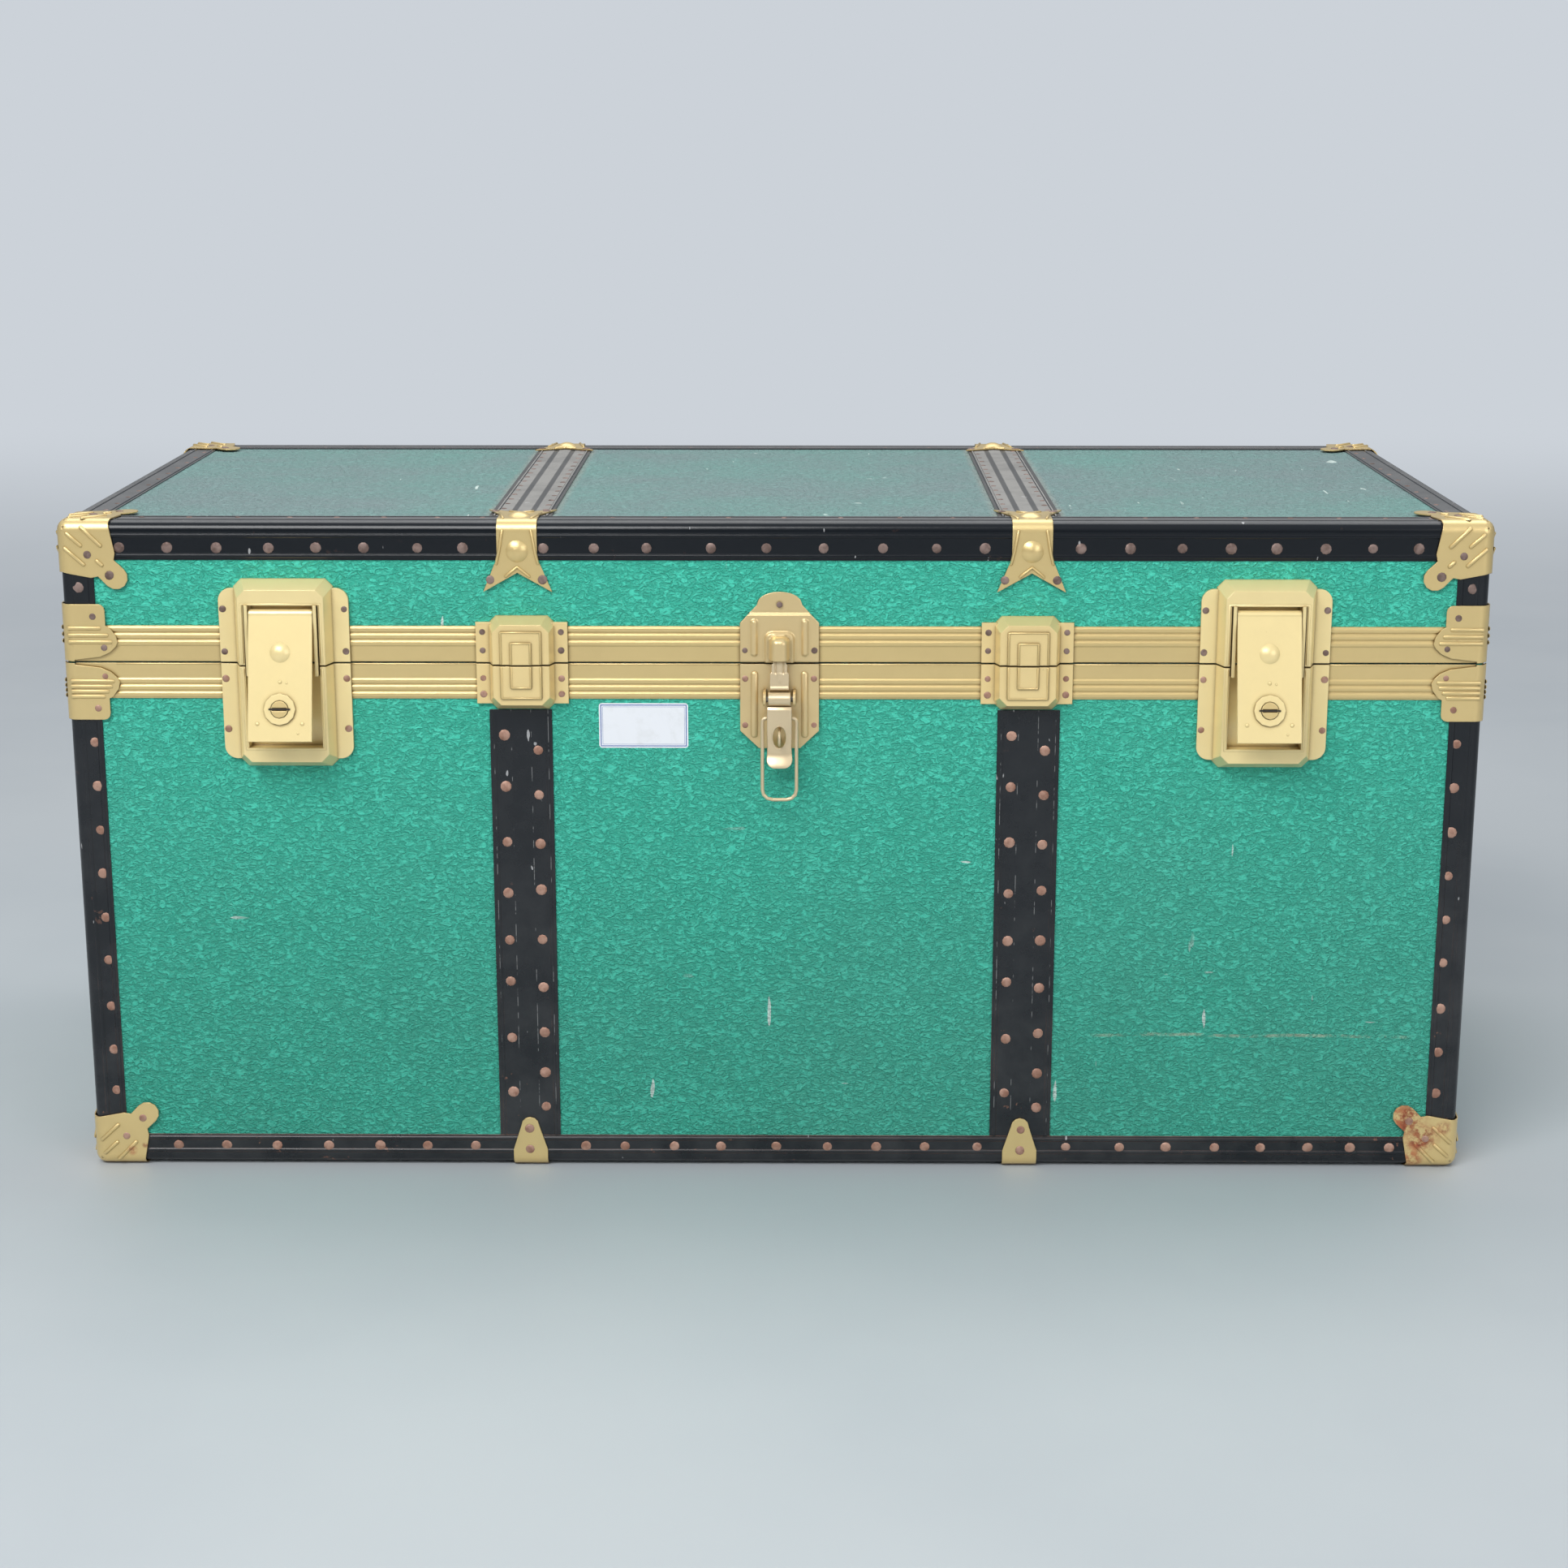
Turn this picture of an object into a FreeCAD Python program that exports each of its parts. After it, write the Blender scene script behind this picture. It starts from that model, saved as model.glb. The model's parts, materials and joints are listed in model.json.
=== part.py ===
import FreeCAD, Part

import math
import os

import Sketcher

# Storage chest: a plywood trunk in green fibre, with black enamelled edge bindings,
# brass seam rails, capped corners, two lever locks, a draw hasp, two dowel clamps,
# two back hinges and a leather handle at each end.
# The frame: X to the right, the front faces -Y, Z up, origin on the floor under the
# middle of the box that the whole chest fills, locks and handles included.

os.makedirs("parts", exist_ok=True)
doc = FreeCAD.newDocument("storage_chest")
Vector = FreeCAD.Vector

# Driving sizes in millimetres, angles in degrees

SIZES = {
    # whole chest, over the corner caps
    "chest_width": 1000.0,
    "chest_depth": 444.2,
    "chest_height": 478.0,
    "seam_gap": 1.2,
    "edge_round": 6.0,
    # the flaps stand out in front, so the outer box is centred by this move back
    "centre_shift": 11.0,
    "wall_ply": 8.0,
    "lining_thick": 0.8,
    "lip_thick": 4.0,
    "lip_rise": 6.5,
    "lip_drop": 45.0,
    "lip_gap": 0.6,
    # corner caps
    "cap_thick": 1.0,
    "cap_stand": 1.6,
    "cap_leg": 34.0,
    "cap_waist_reach": 38.5,
    "cap_waist_depth": 21.0,
    "cap_notch_reach": 37.5,
    "cap_notch_depth": 26.0,
    "cap_lobe_centre": 38.2,
    "cap_lobe_round": 8.4,
    # edge bindings
    "binding_thick": 0.8,
    "binding_bead_high": 0.7,
    "binding_bead_wide": 3.0,
    "lid_binding_leg": 26.0,
    "case_binding_leg": 21.5,
    "corner_binding_leg": 22.4,
    "binding_bead_inset": 2.8,
    "binding_bead_near": 9.0,
    # seam rails
    "rail_thick": 0.8,
    "rail_high": 25.4,
    "rail_bead_high": 0.8,
    "rail_bead_wide": 4.2,
    "rail_bead_step": 4.9,
    "rail_bead_margin": 0.6,
    # rail corner plates
    "plate_tab_wide": 29.0,
    "plate_tab_high": 15.3,
    "plate_reach": 37.0,
    "plate_tab_round": 4.5,
    # straps
    "strap_wide": 44.0,
    "strap_thick": 1.0,
    "strap_bead_high": 0.6,
    "strap_bead_wide": 2.6,
    "strap_bead_inset": 3.4,
    "strap_gap": 0.3,
    # clamps on the top and bottom edges
    "clamp_wide": 28.0,
    "clamp_flare": 48.0,
    "clamp_reach": 48.0,
    "clamp_notch": 34.5,
    "clamp_dome_place": 19.5,
    "clamp_dome_round": 7.6,
    "clamp_dome_high": 2.6,
    "foot_clamp_wide": 25.0,
    "foot_clamp_high": 38.4,
    "foot_clamp_top": 13.0,
    # lever locks
    "lock_plate_thick": 1.2,
    "lock_flange_wide": 91.0,
    "lock_flange_drop": 69.0,
    "lock_flange_rise": 53.0,
    "lock_flange_round": 9.0,
    "lock_body_wide": 70.0,
    "lock_body_crown": 60.0,
    "lock_body_drop": 75.0,
    "lock_body_rise": 59.5,
    "lock_body_proud": 12.0,
    "lock_body_slope": 6.0,
    "pressed_corner": 5.5,
    "lock_recess_wide": 52.0,
    "lock_recess_drop": 59.3,
    "lock_recess_rise": 43.2,
    "flap_wide": 44.5,
    "flap_thick": 1.6,
    "flap_pivot_rise": 36.5,
    "flap_pivot_out": 10.0,
    "flap_long": 89.0,
    "flap_roll": 3.4,
    "flap_roll_step": 0.3,
    "flap_pin": 1.6,
    "flap_open_degrees": 14.0,
    "flap_dome_place": 27.0,
    "flap_dome_round": 6.9,
    "flap_dome_high": 2.4,
    "flap_boss_high": 1.6,
    "flap_key_place": 66.5,
    "flap_key_boss": 11.0,
    "plug_round": 6.0,
    "plug_slot_wide": 2.2,
    "plug_slot_long": 10.4,
    "plug_slot_deep": 2.0,
    "plug_proud": 0.6,
    "cheek_thick": 2.4,
    "cheek_gap": 0.5,
    "cheek_drop": 7.0,
    "case_box_wide": 36.0,
    "case_box_high": 30.0,
    "case_box_deep": 7.4,
    "case_box_wall": 3.0,
    "keeper_wide": 2.4,
    "keeper_high": 8.0,
    "keeper_proud": 10.6,
    "keeper_tip": 1.2,
    "keeper_place": 55.0,
    "keeper_room": 1.4,
    "bolt_wide": 3.0,
    "bolt_thick": 1.6,
    "bolt_long": 12.0,
    "bolt_travel": 4.71,
    "fit_gap": 0.4,
    # draw hasp in the middle
    "hasp_place": 3.5,
    "hasp_plate_wide": 55.4,
    "hasp_shoulder_rise": 28.0,
    "hasp_arch_rise": 50.0,
    "hasp_arch_wide": 30.0,
    "hasp_arch_round": 17.0,
    "hasp_arch_high": 9.0,
    "hasp_plate_drop": 48.5,
    "hasp_foot_drop": 61.0,
    "hasp_foot_wide": 29.0,
    "hood_wide": 21.0,
    "hood_rise": 23.5,
    "hood_proud": 13.0,
    "hood_wall": 1.2,
    "hood_mouth": 3.5,
    "hood_slope": 2.5,
    "lever_wide": 18.0,
    "lever_pivot_drop": 23.5,
    "lever_pivot_out": 10.0,
    "lever_tail": 51.0,
    "lever_thick": 2.0,
    "lever_knuckle": 5.0,
    "lever_step": 0.3,
    "ear_thick": 2.0,
    "lever_pin": 2.0,
    "lever_eye_wide": 7.0,
    "lever_eye_high": 17.0,
    "lever_eye_drop": 27.0,
    "link_wide": 9.0,
    "link_thick": 2.4,
    "link_rise": 13.0,
    "link_hook_wide": 13.0,
    "link_gap": 0.6,
    "bail_wide": 26.6,
    "bail_wire": 2.6,
    "bail_drop": 60.0,
    "bail_pivot_drop": 13.5,
    "bail_block": 12.0,
    "bail_bend": 7.0,
    "staple_wire": 2.0,
    "staple_span": 9.0,
    "staple_proud": 5.0,
    # dowel clamps
    "dowel_flange_wide": 64.4,
    "dowel_flange_high": 29.0,
    "dowel_body_wide": 47.4,
    "dowel_body_high": 33.5,
    "dowel_crown_wide": 39.5,
    "dowel_body_proud": 9.0,
    "dowel_body_slope": 5.0,
    "dowel_step_wide": 29.0,
    "dowel_step_reach": 23.5,
    "dowel_step_high": 0.9,
    "dowel_boss_wide": 15.0,
    "dowel_boss_reach": 16.0,
    "dowel_tongue_wide": 24.0,
    "dowel_tongue_deep": 3.6,
    "dowel_tongue_inset": 2.0,
    "dowel_tongue_long": 8.0,
    "dowel_fit": 0.6,
    # back hinges
    "hinge_wide": 60.0,
    "hinge_leaf_thick": 1.6,
    "hinge_knuckle": 4.2,
    "hinge_pin": 2.0,
    "hinge_out": 4.6,
    "knuckle_gap": 0.4,
    # end handles
    "handle_height": 240.0,
    "handle_span": 200.0,
    "handle_plate_wide": 52.0,
    "handle_plate_high": 44.0,
    "handle_plate_thick": 1.4,
    "handle_saddle_wide": 30.0,
    "handle_saddle_high": 13.0,
    "handle_saddle_wall": 2.0,
    "handle_rod": 5.0,
    "handle_rod_gap": 0.5,
    "handle_loop_drop": 42.0,
    "handle_grip_wide": 20.0,
    "handle_grip_long": 120.0,
    "handle_leg_gap": 8.0,
    "handle_bend": 9.0,
    "handle_out": 11.5,
    # overruns and small clearances
    "overrun": 5.0,
    "face_gap": 0.3,
}

sheet = doc.addObject("Spreadsheet::Sheet", "Sizes")
for row, (word, amount) in enumerate(SIZES.items(), start=1):
    sheet.set("A%d" % row, word)
    sheet.set("B%d" % row, repr(amount))
    sheet.setAlias("B%d" % row, word)
doc.recompute()


class Size:
    """A length with the expression that gives it, so code and document agree."""

    def __init__(self, value, text):
        self.value = value
        self.text = text

    def __add__(self, other):
        other = as_size(other)
        return Size(self.value + other.value, "(%s + %s)" % (self.text, other.text))

    def __sub__(self, other):
        other = as_size(other)
        return Size(self.value - other.value, "(%s - %s)" % (self.text, other.text))

    def __mul__(self, other):
        other = as_size(other)
        return Size(self.value * other.value, "(%s * %s)" % (self.text, other.text))

    def __truediv__(self, other):
        other = as_size(other)
        return Size(self.value / other.value, "(%s / %s)" % (self.text, other.text))

    def __neg__(self):
        return Size(-self.value, "(-%s)" % self.text)

    __radd__ = __add__

    def __rmul__(self, other):
        return as_size(other) * self


def as_size(amount):
    if isinstance(amount, Size):
        return amount
    return Size(float(amount), repr(float(amount)))


class Sizes:
    def __getattr__(self, word):
        return Size(float(sheet.get(word)), "Sizes.%s" % word)


size = Sizes()
nothing = as_size(0)


def flip(sign, amount):
    return amount if sign > 0 else -amount


# Helpers that make document objects bound to the sheet


def bind(thing, **links):
    for word, amount in links.items():
        thing.setExpression(word, as_size(amount).text)


def place(thing, x=nothing, y=nothing, z=nothing):
    for letter, amount in (("x", x), ("y", y), ("z", z)):
        amount = as_size(amount)
        setattr(thing.Placement.Base, letter, amount.value)
        thing.setExpression("Placement.Base.%s" % letter, amount.text)
    return thing


def box(name, x, y, z):
    """A box from three pairs of limits."""
    piece = doc.addObject("Part::Box", name)
    bind(piece, Length=x[1] - x[0], Width=y[1] - y[0], Height=z[1] - z[0])
    return place(piece, x[0], y[0], z[0])


# sides of a round rod or bore, few enough to keep the small parts light
ROUND_SIDES = 12


def rod(name, radius, length, x, y, z, along):
    """A round rod that starts at a point and runs along X, Y or Z."""
    piece = doc.addObject("Part::Prism", name)
    piece.Polygon = ROUND_SIDES
    bind(piece, Circumradius=radius, Height=length)
    turns = {
        "x": FreeCAD.Rotation(Vector(0, 1, 0), 90),
        "y": FreeCAD.Rotation(Vector(1, 0, 0), -90),
        "-y": FreeCAD.Rotation(Vector(1, 0, 0), 90),
        "z": FreeCAD.Rotation(),
    }
    piece.Placement = FreeCAD.Placement(Vector(), turns[along])
    return place(piece, x, y, z)


def wedge(name, x, y, z, top_x, top_z):
    """A block whose far face at the second Y limit has limits of its own."""
    piece = doc.addObject("Part::Wedge", name)
    bind(piece, Xmin=x[0], Xmax=x[1], Ymin=y[0], Ymax=y[1], Zmin=z[0], Zmax=z[1])
    bind(piece, X2min=top_x[0], X2max=top_x[1], Z2min=top_z[0], Z2max=top_z[1])
    return piece


def cut(name, base, *tools):
    result = base
    for count, tool in enumerate(tools):
        step = doc.addObject("Part::Cut", "%s_cut%d" % (name, count))
        step.Base = result
        step.Tool = tool
        result = step
    return result


def fuse(name, *pieces):
    joined = doc.addObject("Part::MultiFuse", name)
    joined.Shapes = list(pieces)
    return joined


def common(name, *pieces):
    shared = doc.addObject("Part::MultiCommon", name)
    shared.Shapes = list(pieces)
    return shared


def group(name, *parts):
    held = doc.addObject("Part::Compound", name)
    held.Links = list(parts)
    return held


def mirror(name, source, x=0, y=0, z=0):
    copy = doc.addObject("Part::Mirroring", name)
    copy.Source = source
    copy.Normal = (x, y, z)
    copy.Base = (0, 0, 0)
    return copy


def feature(name, shape):
    piece = doc.addObject("Part::Feature", name)
    piece.Shape = shape
    return piece


def arc_between(start, end, radius, side):
    """The short arc with its centre to the left (side 1) or right of the way along."""
    chord = end - start
    half = chord.Length / 2
    left = Vector(-chord.y, chord.x, 0).normalize()
    centre = start + chord / 2 + left * (side * math.sqrt(max(radius**2 - half**2, 0)))
    first, last = (start, end) if side > 0 else (end, start)
    angles = [math.atan2(spot.y - centre.y, spot.x - centre.x) for spot in (first, last)]
    if angles[1] < angles[0]:
        angles[1] += 2 * math.pi
    circle = Part.Circle(centre, Vector(0, 0, 1), radius)
    return Part.ArcOfCircle(circle, angles[0], angles[1])


def outline(body, name, role, corners):
    """A closed sketch. Each corner is X, Y and, where an arc leads on, radius and side."""
    sketch = body.newObject("Sketcher::SketchObject", name)
    origin = [part for part in body.Origin.OriginFeatures if part.Role == role][0]
    sketch.AttachmentSupport = [(origin, "")]
    sketch.MapMode = "FlatFace"
    count = len(corners)
    spots = [Vector(as_size(c[0]).value, as_size(c[1]).value, 0) for c in corners]
    edges = []
    for number, corner in enumerate(corners):
        start = spots[number]
        end = spots[(number + 1) % count]
        if len(corner) == 2:
            edges.append(Part.LineSegment(start, end))
            continue
        edges.append(arc_between(start, end, as_size(corner[2]).value, corner[3]))
    sketch.addGeometry(edges)
    ends = [(2, 1) if len(corner) > 2 and corner[3] < 0 else (1, 2) for corner in corners]
    rules = []
    texts = []
    for number, corner in enumerate(corners):
        after = (number + 1) % count
        first = ends[number][0]
        rules.append(
            Sketcher.Constraint("Coincident", number, ends[number][1], after, ends[after][0])
        )
        texts.append(None)
        for kind, amount, axis in (("DistanceX", corner[0], -2), ("DistanceY", corner[1], -1)):
            amount = as_size(amount)
            if abs(amount.value) < 1e-9:
                rules.append(Sketcher.Constraint("PointOnObject", number, first, axis))
                texts.append(None)
                continue
            rules.append(Sketcher.Constraint(kind, -1, 1, number, first, amount.value))
            texts.append(amount.text)
        if len(corner) > 2:
            radius = as_size(corner[2])
            rules.append(Sketcher.Constraint("Radius", number, radius.value))
            texts.append(radius.text)
    sketch.addConstraint(rules)
    for index, text in enumerate(texts):
        if text:
            sketch.setExpression("Constraints[%d]" % index, text)
    return sketch


def pad(name, role, corners, length):
    """A body with one padded outline: XY pads up, XZ pads to the front, YZ to the right."""
    body = doc.addObject("PartDesign::Body", name)
    sketch = outline(body, name + "_outline", role, corners)
    step = body.newObject("PartDesign::Pad", name + "_pad")
    step.Profile = sketch
    bind(step, Length=length)
    return body


pieces = {}


def keep(name, *parts):
    """One node: the solids named, moved so that the outer box stands centred on the origin."""
    node = place(group("node_" + name, *parts), y=size.centre_shift)
    node.Label = name
    pieces[name] = node
    return node


# The box of panels: one envelope with bevelled edges, sliced into boards

SEAM_SHARE = 377 / 478
STRAP_PLACE_SHARE = 0.179
DOWEL_PLACE_SHARE = 0.177
LOCK_PLACE_SHARE = 0.343
HINGE_PLACE_SHARE = 0.3
HINGE_LEAF_SHARE = 0.594

seam_height = size.chest_height * SEAM_SHARE
strap_place = size.chest_width * STRAP_PLACE_SHARE
dowel_place = size.chest_width * DOWEL_PLACE_SHARE
lock_place = size.chest_width * LOCK_PLACE_SHARE
hinge_place = size.chest_width * HINGE_PLACE_SHARE
hinge_leaf_high = (size.chest_height - seam_height) * HINGE_LEAF_SHARE
cap_out = size.cap_stand + size.cap_thick
half_wide = size.chest_width / 2 - cap_out
half_deep = size.chest_depth / 2 - cap_out
base = cap_out
roof = size.chest_height - cap_out
case_top = seam_height - size.seam_gap / 2
lid_bottom = seam_height + size.seam_gap / 2
ply = size.wall_ply
inner_wide = half_wide - ply
inner_deep = half_deep - ply


def bevelled_block(name, wide, deep, low, high, bevel):
    body = pad(
        name,
        "XY_Plane",
        [(-wide, -deep), (wide, -deep), (wide, deep), (-wide, deep)],
        high - low,
    )
    doc.recompute()
    block = body.Tip
    edges = ["Edge%d" % (number + 1) for number in range(len(block.Shape.Edges))]
    chamfer = body.newObject("PartDesign::Chamfer", name + "_chamfer")
    chamfer.Base = (block, edges)
    bind(chamfer, Size=bevel)
    body.Tip = chamfer
    return place(body, z=low)


envelope = bevelled_block("envelope", half_wide, half_deep, base, roof, size.edge_round)


def board(name, x, y, z):
    return keep(name, common(name + "_board", envelope, box(name + "_slab", x, y, z)))


full_x = (-half_wide, half_wide)
between_y = (-inner_deep, inner_deep)
front_y = (-half_deep, -inner_deep)
back_y = (inner_deep, half_deep)
left_x = (-half_wide, -inner_wide)
right_x = (inner_wide, half_wide)
case_z = (base, case_top)
lid_z = (lid_bottom, roof)

board("case_front_panel", full_x, front_y, case_z)
board("case_back_panel", full_x, back_y, case_z)
board("case_left_panel", left_x, between_y, case_z)
board("case_right_panel", right_x, between_y, case_z)
board("case_bottom_panel", (-inner_wide, inner_wide), between_y, (base, base + ply))
board("lid_front_panel", full_x, front_y, lid_z)
board("lid_back_panel", full_x, back_y, lid_z)
board("lid_left_panel", left_x, between_y, lid_z)
board("lid_right_panel", right_x, between_y, lid_z)
board("lid_top_panel", (-inner_wide, inner_wide), between_y, (roof - ply, roof))


def ring(name, outer_x, outer_y, thick, z):
    """A closed band of four walls."""
    outside = box(name + "_outside", (-outer_x, outer_x), (-outer_y, outer_y), z)
    inside = box(
        name + "_inside",
        (thick - outer_x, outer_x - thick),
        (thick - outer_y, outer_y - thick),
        (z[0] - size.overrun, z[1] + size.overrun),
    )
    return cut(name, outside, inside)


# The wooden lip stands inside the case and rises into the lid

lip_low = case_top - size.lip_drop
lip_high = case_top + size.lip_rise
lip_wall = ring(
    "lip_wall",
    inner_wide - size.lip_gap,
    inner_deep - size.lip_gap,
    size.lip_thick,
    (lip_low, lip_high),
)
keep("case_lip", lip_wall)

lining = size.lining_thick
case_floor = base + ply
case_lining_walls = ring(
    "case_lining_walls", inner_wide, inner_deep, lining, (case_floor + lining, lip_low)
)
case_lining_floor = box(
    "case_lining_floor",
    (-inner_wide, inner_wide),
    between_y,
    (case_floor, case_floor + lining),
)
keep("case_lining", fuse("case_lining_skin", case_lining_walls, case_lining_floor))

lid_lining_walls = ring(
    "lid_lining_walls",
    inner_wide,
    inner_deep,
    lining,
    (lip_high + size.lip_gap, roof - ply - lining),
)
lid_lining_roof = box(
    "lid_lining_roof",
    (-inner_wide, inner_wide),
    between_y,
    (roof - ply - lining, roof - ply),
)
keep("lid_lining", fuse("lid_lining_skin", lid_lining_walls, lid_lining_roof))


# Beaded steel bindings folded over the edges

# a bead's section: along its width from the middle, and out, as shares of half its
# width and of its height
BEAD_SHARES = ((-1, 0), (-0.55, 0.8), (0, 1), (0.55, 0.8), (1, 0))


def bead_spots(at, wide, high):
    """A bead's section as places along a wall and distances out of it."""
    return [(at + wide / 2 * along, high * out) for along, out in BEAD_SHARES]


def folded(name, role, signs, leg, length):
    """An angle folded over a rounded edge, with two beads along each leg.

    The sketch's origin is the sharp corner of the panels, and the signs say which
    way each leg runs from it.
    """
    thick = size.binding_thick
    radius = size.edge_round
    wide = size.binding_bead_wide
    high = size.binding_bead_high
    turn = signs[0] * signs[1]
    beads = (size.binding_bead_near, leg - size.binding_bead_inset)
    path = [(nothing, leg), (nothing, radius, radius, 1)]
    path += [(radius, nothing), (leg, nothing), (leg, -thick)]
    for at in reversed(beads):
        path += [(spot, -thick - out) for spot, out in reversed(bead_spots(at, wide, high))]
    path += [(radius, -thick, radius + thick, -1), (-thick, radius)]
    for at in beads:
        path += [(-thick - out, spot) for spot, out in bead_spots(at, wide, high)]
    path += [(-thick, leg)]
    corners = []
    for step in path:
        spot = (flip(signs[0], step[0]), flip(signs[1], step[1]))
        if len(step) > 2:
            spot += (step[2], step[3] * turn)
        corners.append(spot)
    return pad(name, role, corners, length)


def four_edges(name, level, up, leg):
    """Bindings along the four edges of the top or the bottom."""
    long_run = (half_wide - leg) * 2
    short_run = (half_deep - leg) * 2
    front = folded(name + "_front", "YZ_Plane", (1, up), leg, long_run)
    place(front, leg - half_wide, -half_deep, level)
    left = folded(name + "_left", "XZ_Plane", (1, up), leg, short_run)
    place(left, -half_wide, half_deep - leg, level)
    back = mirror(name + "_back", front, y=1)
    right = mirror(name + "_right", left, x=1)
    return front, back, left, right


def four_corners(name, piece):
    """The same piece at the four corners, from the one at the front left."""
    across = mirror(name + "_across", piece, x=1)
    behind = mirror(name + "_behind", piece, y=1)
    far = mirror(name + "_far", across, y=1)
    return piece, across, behind, far


keep("case_bottom_bindings", *four_edges("bottom_binding", base, 1, size.case_binding_leg))
keep("lid_edge_bindings", *four_edges("lid_binding", roof, -1, size.lid_binding_leg))

rail_high = size.rail_high
post_leg = size.corner_binding_leg
case_post_low = base + size.case_binding_leg + size.face_gap
case_post_high = case_top - rail_high - size.face_gap
case_post_long = case_post_high - case_post_low
case_post = folded("case_post", "XY_Plane", (1, 1), post_leg, case_post_long)
place(case_post, -half_wide, -half_deep, case_post_low)
keep("case_corner_bindings", *four_corners("case_posts", case_post))
lid_post_low = lid_bottom + rail_high + size.face_gap
lid_post_high = roof - size.lid_binding_leg - size.face_gap
lid_post_long = lid_post_high - lid_post_low
lid_post = folded("lid_post", "XY_Plane", (1, 1), post_leg, lid_post_long)
place(lid_post, -half_wide, -half_deep, lid_post_low)
keep("lid_corner_bindings", *four_corners("lid_posts", lid_post))


# Brass rails along both sides of the seam, each with three beads


def rail_section(up):
    """A rail's section from its seam edge: out from the wall, then along its height."""
    thick = size.rail_thick
    wide = size.rail_bead_wide
    high = size.rail_bead_high
    path = [(nothing, nothing), (-thick, nothing)]
    for count in (2, 1, 0):
        at = rail_high - size.rail_bead_margin - size.rail_bead_step * count - wide / 2
        path += [(-thick - out, spot) for spot, out in bead_spots(at, wide, high)]
    path += [(-thick, rail_high), (nothing, rail_high)]
    return [(step[0], flip(up, step[1])) for step in path]


def four_rails(name, level, up):
    """Rails round the seam. The bends at the corners stay under the corner plates."""
    reach = size.edge_round
    front = pad(name + "_front", "YZ_Plane", rail_section(up), (half_wide - reach) * 2)
    place(front, reach - half_wide, -half_deep, level)
    left = pad(name + "_left", "XZ_Plane", rail_section(up), (half_deep - reach) * 2)
    place(left, -half_wide, half_deep - reach, level)
    return front, mirror(name + "_back", front, y=1), left, mirror(name + "_right", left, x=1)


keep("case_rails", *four_rails("case_rail", case_top, -1))
keep("lid_rails", *four_rails("lid_rail", lid_bottom, 1))


# Black straps, each with a bead along both edges


def strap_section(out):
    """The section of a strap across its width, standing out from the face it lies on."""
    half = size.strap_wide / 2
    thick = size.strap_thick
    wide = size.strap_bead_wide
    high = size.strap_bead_high
    at = half - size.strap_bead_inset
    path = [(-half, nothing), (-half, thick)]
    for centre in (-at, at):
        path += [(spot, thick + rise) for spot, rise in bead_spots(centre, wide, high)]
    path += [(half, thick), (half, nothing)]
    return [(step[0], flip(out, step[1])) for step in path]


strap_low = base + size.case_binding_leg + size.strap_gap
strap_high = case_top - rail_high - size.strap_gap
clamp_low = seam_height - size.dowel_body_high - size.strap_gap
front_strap = pad("front_strap", "XY_Plane", strap_section(-1), clamp_low - strap_low)
place(front_strap, -strap_place, -half_deep, strap_low)
back_strap = pad("back_strap", "XY_Plane", strap_section(1), strap_high - strap_low)
place(back_strap, -strap_place, half_deep, strap_low)
bottom_run = (half_deep - size.case_binding_leg - size.strap_gap) * 2
bottom_strap = pad("bottom_strap", "XZ_Plane", strap_section(-1), bottom_run)
place(bottom_strap, -strap_place, bottom_run / 2, base)
lid_run = (half_deep - size.lid_binding_leg - size.strap_gap) * 2
lid_strap = pad("lid_strap", "XZ_Plane", strap_section(1), lid_run)
place(lid_strap, -strap_place, lid_run / 2, roof)
keep(
    "case_straps",
    front_strap,
    mirror("front_strap_right", front_strap, x=1),
    back_strap,
    mirror("back_strap_right", back_strap, x=1),
    bottom_strap,
    mirror("bottom_strap_right", bottom_strap, x=1),
)
keep("lid_straps", lid_strap, mirror("lid_strap_right", lid_strap, x=1))


# Pressed brass sheet that wraps an edge or a corner


def number(amount):
    return as_size(amount).value


CAP_IN = number(size.cap_stand)
CAP_OUT = number(cap_out)
EDGE = number(size.edge_round)


def face_prism(points, low, high):
    """A prism in the XY plane of a list of points, from one level to another."""
    spots = [Vector(x, y, low) for x, y in points]
    wire = Part.makePolygon(spots + spots[:1])
    return Part.Face(wire).extrude(Vector(0, 0, high - low))


# the inside of a folded sheet is bevelled, its outside rounded
INNER_BEVEL_SHARE = 0.6


def eased(block, stand, edges):
    """The block of a sheet's outside or inside with the edges that it folds over eased."""
    if stand > CAP_IN:
        return block.makeFillet(EDGE + stand, edges)
    return block.makeChamfer((EDGE + stand) * INNER_BEVEL_SHARE, edges)


def edge_shell(long, reach):
    """Sheet folded over an edge along X: one leg down the front, one over the top.

    The panels' sharp edge is the X axis; they lie behind it and below it.
    """
    shells = []
    for stand in (CAP_OUT, CAP_IN):
        block = Part.makeBox(
            long, reach + stand, reach + stand, Vector(-long / 2, -stand, -reach)
        )
        for edge in block.Edges:
            middle = edge.CenterOfMass
            if abs(middle.y + stand) < 1e-6 and abs(middle.z - stand) < 1e-6:
                block = eased(block, stand, [edge])
                break
        shells.append(block)
    return shells[0].cut(shells[1])


def edge_sheet(front_points, top_points, long, reach):
    """The shell kept inside an outline on each leg: along X, and away from the edge."""
    over = number(size.overrun)
    shell = edge_shell(long, reach)
    front = face_prism([(x, -away) for x, away in front_points], -EDGE, over)
    front.rotate(Vector(), Vector(1, 0, 0), 90)
    top = face_prism([(x, away) for x, away in top_points], -EDGE, over)
    return shell.common(front.fuse(top))


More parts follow.
